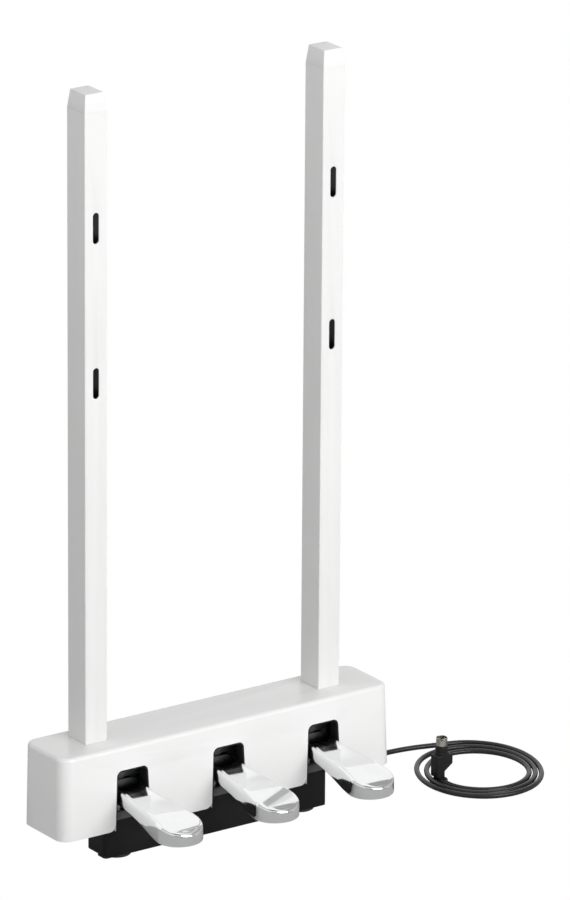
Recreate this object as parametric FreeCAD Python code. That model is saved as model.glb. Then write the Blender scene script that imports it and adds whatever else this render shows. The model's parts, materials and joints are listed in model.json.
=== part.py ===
import FreeCAD, Part

import math
import os

from FreeCAD import Vector

# Three-pedal unit for a slim digital piano. A low white housing stands on a black base
# tray, two slotted posts rise from it to be bolted to the piano's stand, and three
# chromed pedals swing on pins inside. Millimetres; X to the right, Y to the back, Z up.
# The origin is on the floor, under the middle of the unit without its cord.

# ---- driving dimensions -------------------------------------------------------------
# housing
HOUSING_WIDTH = 308.4          # at the lower edge
HOUSING_DEPTH = 56.5           # at half height
HOUSING_HEIGHT = 66.4
HOUSING_LIFT = 31.3            # lower edge above the floor
HOUSING_WALL = 2.5
HOUSING_FRONT_RADIUS = 10.0    # upright front corners
HOUSING_BACK_RADIUS = 10.5     # upright back corners
HOUSING_TOP_RADIUS = 3.4       # edge round the top
SIDE_DRAFT_DEG = 1.3
FRONT_DRAFT_DEG = 1.8

# pedals
PEDAL_PITCH = 89.06
PEDAL_REACH = 81.0             # housing front to pedal tip
PEDAL_TIP_RADIUS = 18.7
PEDAL_NECK_WIDTH = 25.0
PEDAL_NECK_INSIDE = 19.0       # how far the neck runs in behind the front
PEDAL_WAIST = 7.0              # half length of the bend between neck and flaring side
PEDAL_WALL = 2.6
PEDAL_EDGE_RADIUS = 3.6
PEDAL_TIP_BOTTOM = 41.8        # underside of the tip above the floor
PEDAL_SCREWS = (7.0, 14.5)     # housing front to screw
# upper and lower line of a pedal from the side: distance behind the housing front, height
PEDAL_TOP_LINE = ((19.0, 64.8), (8.0, 64.6), (0.0, 63.6), (-8.0, 61.6), (-17.0, 60.7), (-32.0, 59.8),
                  (-47.0, 58.8), (-59.0, 57.3), (-69.0, 54.9), (-77.0, 51.9), (-81.5, 49.2))
PEDAL_LOW_LINE = ((19.0, 51.0), (0.0, 51.0), (-14.0, 50.0), (-27.0, 48.4), (-39.0, 46.0),
                  (-52.0, 43.0), (-64.0, PEDAL_TIP_BOTTOM), (-81.5, PEDAL_TIP_BOTTOM))

# pedal slots in the housing front
SLOT_TOP_WIDTH = 28.3
SLOT_TOP = 79.0                # above the floor
SLOT_FLARE = 0.046             # widening of each side per millimetre downward
SLOT_CORNER = 5.0              # upper corners
PANEL_CORNER = 5.5             # lower corners of the panels between the slots
LINER_WALL = 1.2
LINER_DEPTH = 9.0
LINER_LIP = 2.2
LINER_BOTTOM = 38.6

# posts
POST_SPACING = 217.2
POST_WIDTH = 19.9
POST_DEPTH = 24.35
POST_TOP = 599.0
POST_SETBACK = 33.1            # housing front to post centre
POST_WALL = 1.5
POST_EDGE = 0.8
POST_SLOT_LENGTH = 24.5
POST_SLOT_WIDTH = 5.5
POST_SLOT_DROP = 90.6          # post top to upper slot centre
POST_SLOT_SPACING = 122.1
CAP_HEIGHT = 14.0
CAP_INSET = 1.7
CAP_SPIGOT = 16.0

# base tray and feet
TRAY_WIDTH = 208.0
TRAY_SETBACK = 16.1            # housing front to tray front
TRAY_DEPTH = 36.5
TRAY_WALL = 2.0
TRAY_EDGE_RADIUS = 3.0
TRAY_REAR_CHAMFER = 13.0
TRAY_END_CHAMFER = 2.5
FOOT_HEIGHT = 2.2
FRONT_FOOT_RADIUS = 11.7
REAR_FOOT_RADIUS = 8.0
FRONT_FOOT_SPACING = 172.0
REAR_FOOT_SPACING = 132.0
STOP_TAB_TOP = 37.4
STOP_FELT = 1.0

# steelwork inside
PLATE_THICKNESS = 2.5
PLATE_TOP = 35.5
PLATE_MARGIN = 0.6             # gap between plate and housing wall
BEAM_LENGTH = 258.0
BEAM_WALL = 2.5
BEAM_UNDERSIDE = 66.0
BEAM_FLANGE_TOP = 90.0
COLUMN_RADIUS = 6.0
COLUMN_POST_GAP = 4.05         # side of a post to the middle of the outer column
PANEL_X = PEDAL_PITCH / 2      # middle of the panel between two pedals

# pedal mechanism
ARM_WIDTH = 17.0
ARM_WALL = 2.0
ARM_TOP = 60.2
ARM_BOTTOM = 42.4
ARM_FRONT_SETBACK = 2.0        # housing front to arm front
ARM_STEP_SETBACK = 18.0        # housing front to where the arm gets its full height
ARM_STEP_BOTTOM = 52.0
PIVOT_SETBACK = 43.1
PIVOT_HEIGHT = 52.0
PIN_RADIUS = 3.0
PIN_CLEARANCE = 0.05
BUSH_RADIUS = 4.5
BUSH_FLANGE = 0.7
ARM_TAIL = 5.6                 # pivot to rear end of the arm
BRACKET_WALL = 2.0
BRACKET_HALF_DEPTH = 6.5
BRACKET_TOP = 58.0
CLIP_THICKNESS = 0.8
SPRING_SETBACK = 24.5
SPRING_RADIUS = 5.4            # outside
SPRING_WIRE = 0.65
SPRING_TURNS = 6
UPPER_STOP_SETBACK = 19.6      # housing front to the pad
UPPER_STOP_WIDTH = 12.0
UPPER_STOP_DEPTH = 8.0
REST_GAP = 0.3                 # between arm and upper stop at rest

# sensor board
BOARD_WIDTH = 214.0
BOARD_HEIGHT = 22.0
BOARD_THICKNESS = 1.6
BOARD_REAR_GAP = 0.7           # board to housing back wall
BOARD_CLIP_HEIGHT = 14.0
SENSOR_SIZE = (7.0, 1.8, 5.0)
CONNECTOR_SIZE = (14.0, 5.6, 7.0)
CONNECTOR_X = 58.0
CONNECTOR_HEIGHT = 48.0        # middle above the floor

# cord and plug
CORD_RADIUS = 2.1
GLAND_X = 70.0
GLAND_HEIGHT = 15.5
GLAND_NECK_RADIUS = 3.6
GLAND_FLANGE_RADIUS = 4.8
GLAND_FLANGE = 1.6
GLAND_SLEEVE_RADIUS = 3.2
GLAND_SLEEVE = 3.85            # beyond the tray's rear wall
LEAD_HOLE_Y = 44.5             # where the lead passes up through the plate
INNER_ROUTE = ((70.0, 68.7, 15.5), (70.0, 56.0, 15.5), (70.0, 45.6, 21.6), (69.6, 44.6, 34.0),
               (65.0, 45.6, 44.0), (58.0, 49.0, 48.0), (58.0, 58.35, 48.0))
LEAD_ROUTE = ((70.0, 68.7, 15.5), (70.0, 82.5, 15.5), (76.0, 95.0, 10.9), (89.5, 103.0, 5.1),
              (108.0, 104.4, 2.4), (134.0, 101.2, 2.1), (163.0, 96.4, 2.1), (191.0, 94.2, 2.1),
              (216.0, 94.4, 2.1), (236.0, 91.0, 2.1), (251.5, 83.3, 2.1))
COIL_CENTRE = (247.8, 23.8)
COIL_OUTER = (60.2, 50.9)      # half axes of the wound turns
COIL_INNER = (41.4, 37.6)
COIL_TURN_DEG = 67.0           # direction of the long axis
PLUG_X, PLUG_Y = 212.4, 25.2
PLUG_TAIL = (8.6, 10.4)        # width and depth of the part that the cord enters
PLUG_TAIL_OFFSET = -3.2        # middle of the tail beside the plug's axis
PLUG_TAIL_TOP = 14.6
PLUG_GRIP = (15.0, 12.0)       # the wider grip above it
PLUG_GRIP_TOP = 22.8
PLUG_GRIP_SLOPE = 5.3
PLUG_COLLAR_RADIUS = 5.1
PLUG_COLLAR_TOP = 30.0
PLUG_SHELL_RADIUS = 4.5
PLUG_SHELL_WALL = 0.5
PLUG_SHELL_TOP = 36.5
PLUG_INSERT_SEAT = 3.0         # how far the insert reaches down into the grip
PLUG_INSERT_TOP = 31.5
PLUG_PINS = 6
PLUG_PIN_CIRCLE = 2.6
PLUG_PIN_RADIUS = 0.5
PLUG_PIN_TOP = 35.5

# fasteners
SCREW_RADIUS = 2.0
SCREW_GRIP = 8.0               # thread length in the piece it holds
BOSS_WALL = 2.2
SCREW_HEAD_RADIUS = 3.6
SCREW_HEAD = 1.6
BOLT_RADIUS = 3.0
BOLT_HEAD_RADIUS = 5.0
BOLT_HEAD = 3.0
FIT = 0.1                      # clearance of parts that slide together

# ---- places worked out from the above ---------------------------------------------------
HOUSING_TOP = HOUSING_LIFT + HOUSING_HEIGHT
Y_FRONT = (PEDAL_REACH - HOUSING_DEPTH) / 2
Y_BACK = Y_FRONT + HOUSING_DEPTH
Y_POST = Y_FRONT + POST_SETBACK
Y_PIVOT = Y_FRONT + PIVOT_SETBACK
Y_SPRING = Y_FRONT + SPRING_SETBACK
Y_TRAY = Y_FRONT + TRAY_SETBACK
Y_TIP_CENTRE = Y_FRONT - PEDAL_REACH + PEDAL_TIP_RADIUS
PLUG_TAIL_X = PLUG_X + PLUG_TAIL_OFFSET
POST_X = POST_SPACING / 2
COLUMN_OUTER_X = POST_X + POST_WIDTH / 2 + COLUMN_POST_GAP
POST_BOTTOM = BEAM_UNDERSIDE + BEAM_WALL
PLATE_BOTTOM = PLATE_TOP - PLATE_THICKNESS
BEAM_HALF_DEPTH = POST_DEPTH / 2 + FIT + BEAM_WALL
Y_BOARD = Y_BACK - HOUSING_WALL - BOARD_REAR_GAP - BOARD_THICKNESS
PEDALS = (("left", -PEDAL_PITCH), ("middle", 0.0), ("right", PEDAL_PITCH))
SIDES = (("left", -1), ("right", 1))
HOUSING_BOSSES = ((PANEL_X, Y_FRONT + 11.0), (-PANEL_X, Y_FRONT + 11.0),
                  (HOUSING_WIDTH / 2 - 12.0, Y_POST - 6.0),
                  (-HOUSING_WIDTH / 2 + 12.0, Y_POST - 6.0))
COLUMNS = ((PANEL_X, Y_POST), (-PANEL_X, Y_POST),
           (COLUMN_OUTER_X, Y_POST), (-COLUMN_OUTER_X, Y_POST))
TRAY_BOSSES = ((PANEL_X - 12.0, Y_POST), (-PANEL_X + 12.0, Y_POST),
               (PANEL_X + 12.0, Y_POST), (-PANEL_X - 12.0, Y_POST))
BOLT_HEIGHTS = (POST_BOTTOM + 5.5, BEAM_FLANGE_TOP - 5.5)
BOARD_SCREWS = (-PANEL_X, PANEL_X)
BOARD_SCREW_Z = PLATE_TOP + BOARD_CLIP_HEIGHT - 3.5
TRAY_BACK = Y_TRAY + TRAY_DEPTH


# ---- helpers ----------------------------------------------------------------------------
def export(name, shape):
    shape.exportStep("parts/" + name + ".step")


def box(x0, x1, y0, y1, z0, z1):
    return Part.makeBox(x1 - x0, y1 - y0, z1 - z0, Vector(x0, y0, z0))


def rod(x, y, z, radius, length, direction=Vector(0, 0, 1)):
    return Part.makeCylinder(radius, length, Vector(x, y, z), direction)


def tube(x, y, z, outer, inner, length, direction=Vector(0, 0, 1)):
    return rod(x, y, z, outer, length, direction).cut(rod(x, y, z, inner, length, direction))


def rounded_outline(x0, x1, y0, y1, z, front_radius, back_radius):
    """Level rectangle with one radius at the front corners and one at the back."""
    f, b = front_radius, back_radius
    k = 1 - math.sqrt(0.5)
    corners = (((x1 - f, y0), (x1 - f * k, y0 + f * k), (x1, y0 + f)),
               ((x1, y1 - b), (x1 - b * k, y1 - b * k), (x1 - b, y1)),
               ((x0 + b, y1), (x0 + b * k, y1 - b * k), (x0, y1 - b)),
               ((x0, y0 + f), (x0 + f * k, y0 + f * k), (x0 + f, y0)))
    edges = []
    for i, (start, middle, end) in enumerate(corners):
        arc = Part.Arc(Vector(*start, z), Vector(*middle, z), Vector(*end, z))
        following = corners[(i + 1) % 4][0]
        edges.append(arc.toShape())
        edges.append(Part.makeLine(Vector(*end, z), Vector(*following, z)))
    return Part.Wire(edges)


def rounded_block(x0, x1, y0, y1, z0, z1, radius):
    outline = rounded_outline(x0, x1, y0, y1, z0, radius, radius)
    return Part.Face(outline).extrude(Vector(0, 0, z1 - z0))


def polygon_prism(points, direction):
    """Prism over a closed outline of 3-D corner points."""
    return Part.Face(Part.makePolygon([Vector(*p) for p in points + points[:1]])).extrude(direction)


def fused(shapes):
    whole = shapes[0]
    for shape in shapes[1:]:
        whole = whole.fuse(shape)
    return whole.removeSplitter()


def screw(x, y, z, length, direction, radius=SCREW_RADIUS, head=SCREW_HEAD,
          head_radius=SCREW_HEAD_RADIUS):
    """Screw whose head's seat is at the given point and whose shank runs along direction."""
    shank = rod(x, y, z, radius, length, direction)
    at_seat = Vector(x, y, z) - direction * head
    return shank.fuse(rod(at_seat.x, at_seat.y, at_seat.z, head_radius, head, direction))


# ---- housing ----------------------------------------------------------------------------
def housing_limits(z, inset):
    rise = z - HOUSING_LIFT
    half = HOUSING_WIDTH / 2 - rise * math.tan(math.radians(SIDE_DRAFT_DEG)) - inset
    lean = (rise - HOUSING_HEIGHT / 2) * math.tan(math.radians(FRONT_DRAFT_DEG))
    return half, Y_FRONT + lean + inset, Y_BACK - inset


def housing_body(inset, z0, z1):
    """The drafted block of the housing, all faces moved in by the inset."""
    outlines = []
    for z in (z0, z1):
        half, front, back = housing_limits(z, inset)
        outlines.append(rounded_outline(-half, half, front, back, z, HOUSING_FRONT_RADIUS - inset,
                                        HOUSING_BACK_RADIUS - inset))
    return Part.makeLoft(outlines, True, True)


def top_edges(shape, z):
    return [e for e in shape.Edges if all(abs(v.Z - z) < 1e-6 for v in e.Vertexes)]


def slot_half_width(z, inset=0.0):
    return SLOT_TOP_WIDTH / 2 + (SLOT_TOP - z) * SLOT_FLARE - inset


def slot_prism(x, y0, y1, inset, bottom):
    """Opening of one pedal, straight-sided and open downward, moved in by the inset."""
    top = SLOT_TOP - inset
    r = SLOT_CORNER - inset
    k = r * (1 - math.sqrt(0.5))
    wide = slot_half_width(bottom, inset)
    shoulder = slot_half_width(top - r, inset)
    p = [Vector(x - wide, y0, bottom), Vector(x - shoulder, y0, top - r),
         Vector(x - shoulder + k, y0, top - k), Vector(x - shoulder + r, y0, top),
         Vector(x + shoulder - r, y0, top), Vector(x + shoulder - k, y0, top - k),
         Vector(x + shoulder, y0, top - r), Vector(x + wide, y0, bottom)]
    edges = [Part.makeLine(p[0], p[1]), Part.Arc(p[1], p[2], p[3]).toShape(),
             Part.makeLine(p[3], p[4]), Part.Arc(p[4], p[5], p[6]).toShape(),
             Part.makeLine(p[6], p[7]), Part.makeLine(p[7], p[0])]
    return Part.Face(Part.Wire(edges)).extrude(Vector(0, y1 - y0, 0))


def panel_corner_cut(x, side, y0, y1):
    """Rounds the lower corner of the panel beside a slot."""
    r = PANEL_CORNER
    edge = x + side * slot_half_width(HOUSING_LIFT)
    square = box(min(edge, edge + side * r), max(edge, edge + side * r), y0, y1,
                 HOUSING_LIFT - 1, HOUSING_LIFT + r)
    round_part = rod(edge + side * r, y0 - 1, HOUSING_LIFT + r, r, y1 - y0 + 2, Vector(0, 1, 0))
    return square.cut(round_part)


def housing_shell():
    outer = housing_body(0.0, HOUSING_LIFT, HOUSING_TOP)
    outer = outer.makeFillet(HOUSING_TOP_RADIUS, top_edges(outer, HOUSING_TOP))
    inner = housing_body(HOUSING_WALL, HOUSING_LIFT - 1, HOUSING_TOP - HOUSING_WALL)
    shell = outer.cut(inner)
    ceiling = HOUSING_TOP - HOUSING_WALL
    for x, y in HOUSING_BOSSES:
        boss = tube(x, y, PLATE_TOP, SCREW_RADIUS + BOSS_WALL, SCREW_RADIUS, ceiling - PLATE_TOP)
        shell = shell.fuse(boss)
    y0, y1 = Y_FRONT - 5, Y_FRONT + HOUSING_WALL + 3
    for _, x in PEDALS:
        shell = shell.cut(slot_prism(x, y0, y1, 0.0, HOUSING_LIFT - 1))
        for side in (-1, 1):
            shell = shell.cut(panel_corner_cut(x, side, y0, y1))
    for _, side in SIDES:
        half_x, half_y = POST_WIDTH / 2 + FIT, POST_DEPTH / 2 + FIT
        shell = shell.cut(box(side * POST_X - half_x, side * POST_X + half_x,
                              Y_POST - half_y, Y_POST + half_y, ceiling - 1, HOUSING_TOP + 1))
    return shell


def slot_liner(x):
    """Black duct that lines a slot, with a lip behind the housing's front wall."""
    front = Y_FRONT - 3
    duct = slot_prism(x, front, Y_FRONT + LINER_DEPTH, FIT, LINER_BOTTOM)
    duct = duct.common(housing_body(0.25, HOUSING_LIFT, HOUSING_TOP))
    lip = slot_prism(x, front, Y_FRONT + HOUSING_WALL + 2.2, -LINER_LIP, LINER_BOTTOM)
    lip = lip.common(housing_body(HOUSING_WALL, HOUSING_LIFT, HOUSING_TOP - HOUSING_WALL))
    bore = slot_prism(x, front, Y_FRONT + LINER_DEPTH + 1, FIT + LINER_WALL, LINER_BOTTOM - 1)
    return duct.fuse(lip).cut(bore)


# ---- posts ------------------------------------------------------------------------------
def post_slot(x, z):
    """Upright slot with round ends, right through the front and back walls."""
    half = (POST_SLOT_LENGTH - POST_SLOT_WIDTH) / 2
    r = POST_SLOT_WIDTH / 2
    y0, depth = Y_POST - POST_DEPTH, 2 * POST_DEPTH
    middle = box(x - r, x + r, y0, y0 + depth, z - half, z + half)
    ends = [rod(x, y0, z + s * half, r, depth, Vector(0, 1, 0)) for s in (-1, 1)]
    return fused([middle] + ends)


def post_slot_heights():
    upper = POST_TOP - POST_SLOT_DROP
    return upper, upper - POST_SLOT_SPACING


def post(x):
    hx, hy = POST_WIDTH / 2, POST_DEPTH / 2
    body = rounded_block(x - hx, x + hx, Y_POST - hy, Y_POST + hy, POST_BOTTOM, POST_TOP, POST_EDGE)
    hx, hy = hx - POST_WALL, hy - POST_WALL
    body = body.cut(box(x - hx, x + hx, Y_POST - hy, Y_POST + hy, POST_BOTTOM - 1, POST_TOP + 1))
    for z in post_slot_heights():
        body = body.cut(post_slot(x, z))
    for z in BOLT_HEIGHTS:
        body = body.cut(rod(x, Y_POST - POST_DEPTH, z, BOLT_RADIUS + FIT, 2 * POST_DEPTH,
                            Vector(0, 1, 0)))
    return body


def post_cap(x):
    """Tapered plug on the post's end with a spigot inside the tube."""
    outlines = []
    for inset, z in ((0.0, POST_TOP), (CAP_INSET, POST_TOP + CAP_HEIGHT)):
        hx, hy = POST_WIDTH / 2 - inset, POST_DEPTH / 2 - inset
        outlines.append(rounded_outline(x - hx, x + hx, Y_POST - hy, Y_POST + hy, z,
                                        POST_EDGE, POST_EDGE))
    head = Part.makeLoft(outlines, True, True)
    hx, hy = POST_WIDTH / 2 - POST_WALL - FIT, POST_DEPTH / 2 - POST_WALL - FIT
    spigot = box(x - hx, x + hx, Y_POST - hy, Y_POST + hy, POST_TOP - CAP_SPIGOT, POST_TOP)
    hollow = box(x - hx + 2, x + hx - 2, Y_POST - hy + 2, Y_POST + hy - 2,
                 POST_TOP - CAP_SPIGOT - 1, POST_TOP + CAP_HEIGHT - 4)
    return head.fuse(spigot).cut(hollow)


# ---- base tray, stop felts and feet ---------------------------------------------------------
def tray_outline(inset, z):
    """Level outline of the tray: square front, chamfered rear corners."""
    half = TRAY_WIDTH / 2 - inset
    y0, y1 = Y_TRAY + inset, Y_TRAY + TRAY_DEPTH - inset
    c = TRAY_REAR_CHAMFER
    return [(-half, y0, z), (half, y0, z), (half, y1 - c, z), (half - c, y1, z),
            (-half + c, y1, z), (-half, y1 - c, z)]


def base_tray():
    height = PLATE_BOTTOM - FOOT_HEIGHT
    outer = polygon_prism(tray_outline(0.0, FOOT_HEIGHT), Vector(0, 0, height))
    upright = [e for e in outer.Edges if abs(e.Vertexes[0].Z - e.Vertexes[1].Z) > 1]
    outer = outer.makeFillet(TRAY_EDGE_RADIUS, upright)
    inner = polygon_prism(tray_outline(TRAY_WALL, FOOT_HEIGHT + TRAY_WALL), Vector(0, 0, height))
    tray = outer.cut(inner)
    for _, side in SIDES:
        edge, c = side * TRAY_WIDTH / 2, TRAY_END_CHAMFER
        corner = [(edge + side, Y_TRAY + 10, FOOT_HEIGHT - 1),
                  (edge + side, Y_TRAY + 10, FOOT_HEIGHT + c + 1),
                  (edge - side * (c + 1), Y_TRAY + 10, FOOT_HEIGHT - 1)]
        tray = tray.cut(polygon_prism(corner, Vector(0, TRAY_DEPTH, 0)))
    for x, y in TRAY_BOSSES:
        floor = FOOT_HEIGHT + TRAY_WALL
        tray = tray.fuse(tube(x, y, floor, SCREW_RADIUS + BOSS_WALL, SCREW_RADIUS,
                              PLATE_BOTTOM - floor))
    for _, x in PEDALS:
        half = slot_half_width(PLATE_BOTTOM) - FIT
        tray = tray.fuse(box(x - half, x + half, Y_TRAY + STOP_FELT, Y_TRAY + TRAY_WALL + 1,
                             PLATE_BOTTOM - 3, STOP_TAB_TOP))
        tray = tray.cut(box(x - half, x + half, Y_TRAY - 1, Y_TRAY + STOP_FELT,
                            HOUSING_LIFT + 0.7, PLATE_TOP + 5))
    hole = rod(GLAND_X, TRAY_BACK - 5, GLAND_HEIGHT, GLAND_NECK_RADIUS, 10, Vector(0, 1, 0))
    return tray.cut(hole).removeSplitter()


def stop_felt(x):
    """Felt folded over the tray's tab: it stops the pedal arm at the bottom."""
    half = slot_half_width(PLATE_BOTTOM) - FIT
    front = box(x - half, x + half, Y_TRAY, Y_TRAY + STOP_FELT, HOUSING_LIFT + 0.7,
                STOP_TAB_TOP + STOP_FELT)
    cover = box(x - half, x + half, Y_TRAY, Y_TRAY + TRAY_WALL + 1, STOP_TAB_TOP,
                STOP_TAB_TOP + STOP_FELT)
    return front.fuse(cover).removeSplitter()


def feet(radius, spacing, y):
    discs = []
    for _, side in SIDES:
        disc = rod(side * spacing / 2, y, 0, radius, FOOT_HEIGHT)
        discs.append(disc.makeChamfer(0.5, [disc.Edges[i] for i in (2,)]))
    return Part.makeCompound(discs)


# ---- chassis plate, beam and columns ----------------------------------------------------------
def chassis_plate():
    inset = HOUSING_WALL + PLATE_MARGIN
    half, front, back = housing_limits(PLATE_TOP, inset)
    outline = rounded_outline(-half, half, front, back, PLATE_BOTTOM, HOUSING_FRONT_RADIUS - inset,
                              HOUSING_BACK_RADIUS - inset)
    plate = Part.Face(outline).extrude(Vector(0, 0, PLATE_THICKNESS))
    for _, x in PEDALS:
        notch = slot_half_width(PLATE_BOTTOM) + LINER_LIP
        plate = plate.cut(box(x - notch, x + notch, front - 1, Y_TRAY + TRAY_WALL + 1 + FIT,
                              PLATE_BOTTOM - 1, PLATE_TOP + 1))
    for x, y in HOUSING_BOSSES + COLUMNS + TRAY_BOSSES:
        plate = plate.cut(rod(x, y, PLATE_BOTTOM - 1, SCREW_RADIUS + FIT, PLATE_THICKNESS + 2))
    lead_hole = rod(GLAND_X, LEAD_HOLE_Y, PLATE_BOTTOM - 1, CORD_RADIUS + 1.9, PLATE_THICKNESS + 2)
    return plate.cut(lead_hole)


def crossbeam():
    """Channel open upward: the posts stand in it and are bolted through its flanges."""
    half, depth = BEAM_LENGTH / 2, BEAM_HALF_DEPTH
    beam = box(-half, half, Y_POST - depth, Y_POST + depth, BEAM_UNDERSIDE, BEAM_FLANGE_TOP)
    beam = beam.cut(box(-half - 1, half + 1, Y_POST - depth + BEAM_WALL, Y_POST + depth - BEAM_WALL,
                        BEAM_UNDERSIDE + BEAM_WALL, BEAM_FLANGE_TOP + 1))
    for _, side in SIDES:
        for z in BOLT_HEIGHTS:
            beam = beam.cut(rod(side * POST_X, Y_POST - 2 * depth, z, BOLT_RADIUS + FIT, 4 * depth,
                                Vector(0, 1, 0)))
    for x, y in COLUMNS:
        beam = beam.cut(rod(x, y, BEAM_UNDERSIDE - 1, SCREW_RADIUS + FIT, BEAM_WALL + 2))
    return beam


def columns():
    height = BEAM_UNDERSIDE - PLATE_TOP
    return Part.makeCompound([tube(x, y, PLATE_TOP, COLUMN_RADIUS, SCREW_RADIUS, height)
                              for x, y in COLUMNS])


# ---- pedals -----------------------------------------------------------------------------------
def pedal_plan(x, inset, rear):
    """Level outline of a pedal: neck, two flaring sides and a round tip."""
    r = PEDAL_TIP_RADIUS - inset
    neck = PEDAL_NECK_WIDTH / 2 - inset
    flare = math.atan2(PEDAL_TIP_RADIUS - PEDAL_NECK_WIDTH / 2, Y_FRONT - Y_TIP_CENTRE)
    wide, start = r * math.cos(flare), Y_TIP_CENTRE + r * math.sin(flare)
    waist_y = Y_FRONT + PEDAL_WAIST
    bend_y = Y_FRONT - PEDAL_WAIST
    bend = neck + (wide - neck) * PEDAL_WAIST / (Y_FRONT - start)
    edges = [Part.makeLine(Vector(x + neck, rear, 0), Vector(x - neck, rear, 0))]
    for side in (-1, 1):
        waist = Part.BezierCurve()
        waist.setPoles([Vector(x + side * neck, waist_y, 0), Vector(x + side * neck, Y_FRONT, 0),
                        Vector(x + side * bend, bend_y, 0)])
        edges += [Part.makeLine(Vector(x + side * neck, rear, 0), Vector(x + side * neck, waist_y, 0)),
                  waist.toShape(),
                  Part.makeLine(Vector(x + side * bend, bend_y, 0), Vector(x + side * wide, start, 0))]
    edges.append(Part.Arc(Vector(x - wide, start, 0), Vector(x, Y_TIP_CENTRE - r, 0),
                          Vector(x + wide, start, 0)).toShape())
    return Part.Wire(Part.__sortEdges__(edges))


def side_line(points, drop):
    """Smooth line in the YZ plane through (distance behind the housing front, height)."""
    curve = Part.BSplineCurve()
    curve.interpolate([Vector(0, Y_FRONT + y, z - drop) for y, z in points])
    return curve.toShape()


def pedal_profile(x, width, top_drop, low_drop):
    """Side view of a pedal between its upper and lower line, extruded to the width."""
    top = side_line(PEDAL_TOP_LINE, top_drop)
    low = side_line(PEDAL_LOW_LINE, low_drop)
    ends = [(top.Vertexes[i].Point, low.Vertexes[i].Point) for i in (0, 1)]
    wire = Part.Wire([top, Part.makeLine(*ends[1]), low, Part.makeLine(*ends[0])])
    face = Part.Face(wire)
    face.translate(Vector(x - width / 2, 0, 0))
    return face.extrude(Vector(width, 0, 0))


def top_height(y):
    """Height of the pedal's upper line at a place, by straight steps."""
    back = y - Y_FRONT
    for (y1, z1), (y0, z0) in zip(PEDAL_TOP_LINE, PEDAL_TOP_LINE[1:]):
        if y0 <= back <= y1:
            return z0 + (z1 - z0) * (back - y0) / (y1 - y0)
    return PEDAL_TOP_LINE[-1][1]


def pedal(x):
    """Chromed pedal: crowned top, rounded edges, hollow below, two screw bosses in the neck."""
    rear = Y_FRONT + PEDAL_NECK_INSIDE
    plan = Part.Face(pedal_plan(x, 0.0, rear)).extrude(Vector(0, 0, 100))
    body = plan.common(pedal_profile(x, 60.0, 0.0, 0.0))
    upper = []
    for edge in body.Edges:
        middle = edge.valueAt((edge.FirstParameter + edge.LastParameter) / 2)
        if middle.y < rear - 0.5 and middle.z > top_height(middle.y) - 0.1:
            upper.append(edge)
    body = body.makeFillet(PEDAL_EDGE_RADIUS, upper)
    hollow = Part.Face(pedal_plan(x, PEDAL_WALL, rear + 1)).extrude(Vector(0, 0, 100))
    hollow = hollow.common(pedal_profile(x, 60.0, PEDAL_WALL + 0.6, 12.0))
    body = body.cut(hollow)
    for setback in PEDAL_SCREWS:
        body = body.fuse(rod(x, Y_FRONT + setback, ARM_TOP, SCREW_RADIUS + 1.6,
                             PEDAL_TOP_LINE[0][1] - ARM_TOP - 1.2))
        body = body.cut(rod(x, Y_FRONT + setback, ARM_TOP - 1, SCREW_RADIUS, 3.5))
    return body


def pedal_arm(x):
    """Steel channel, open below, that carries the pedal and swings on the pivot pin."""
    half, y0, y1 = ARM_WIDTH / 2, Y_FRONT + ARM_FRONT_SETBACK, Y_PIVOT + ARM_TAIL
    arm = box(x - half, x + half, y0, y1, ARM_BOTTOM, ARM_TOP)
    inner = half - ARM_WALL
    arm = arm.cut(box(x - inner, x + inner, y0 - 1, y1 - ARM_WALL, ARM_BOTTOM - 1,
                      ARM_TOP - ARM_WALL))
    arm = arm.cut(box(x - half - 1, x + half + 1, y0 - 1, Y_FRONT + ARM_STEP_SETBACK, ARM_BOTTOM - 1,
                      ARM_STEP_BOTTOM))
    for side in (-1, 1):
        arm = arm.cut(rod(x + side * inner, Y_PIVOT, PIVOT_HEIGHT, BUSH_RADIUS, ARM_WALL + 1,
                          Vector(side, 0, 0)))
    for setback in PEDAL_SCREWS:
        arm = arm.cut(rod(x, Y_FRONT + setback, ARM_TOP - ARM_WALL - 1, SCREW_RADIUS, ARM_WALL + 2))
    return arm


def pedal_screws(x):
    seat = ARM_TOP - ARM_WALL
    return Part.makeCompound([screw(x, Y_FRONT + setback, seat, ARM_WALL + 2.4, Vector(0, 0, 1),
                                    head_radius=3.2) for setback in PEDAL_SCREWS])


def pivot_bushes(x):
    """Two nylon bushes pressed into the arm's cheeks, each with a flange outside."""
    inner = PIN_RADIUS + PIN_CLEARANCE
    rings = []
    for side in (-1, 1):
        direction = Vector(side, 0, 0)
        outside = x + side * ARM_WIDTH / 2
        sleeve = tube(outside - side * ARM_WALL, Y_PIVOT, PIVOT_HEIGHT, BUSH_RADIUS, inner,
                      ARM_WALL, direction)
        flange = tube(outside, Y_PIVOT, PIVOT_HEIGHT, BUSH_RADIUS + 1, inner, BUSH_FLANGE, direction)
        rings.append(sleeve.fuse(flange))
    return Part.makeCompound(rings)


def bracket_half_width():
    return ARM_WIDTH / 2 + BUSH_FLANGE + REST_GAP


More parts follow.
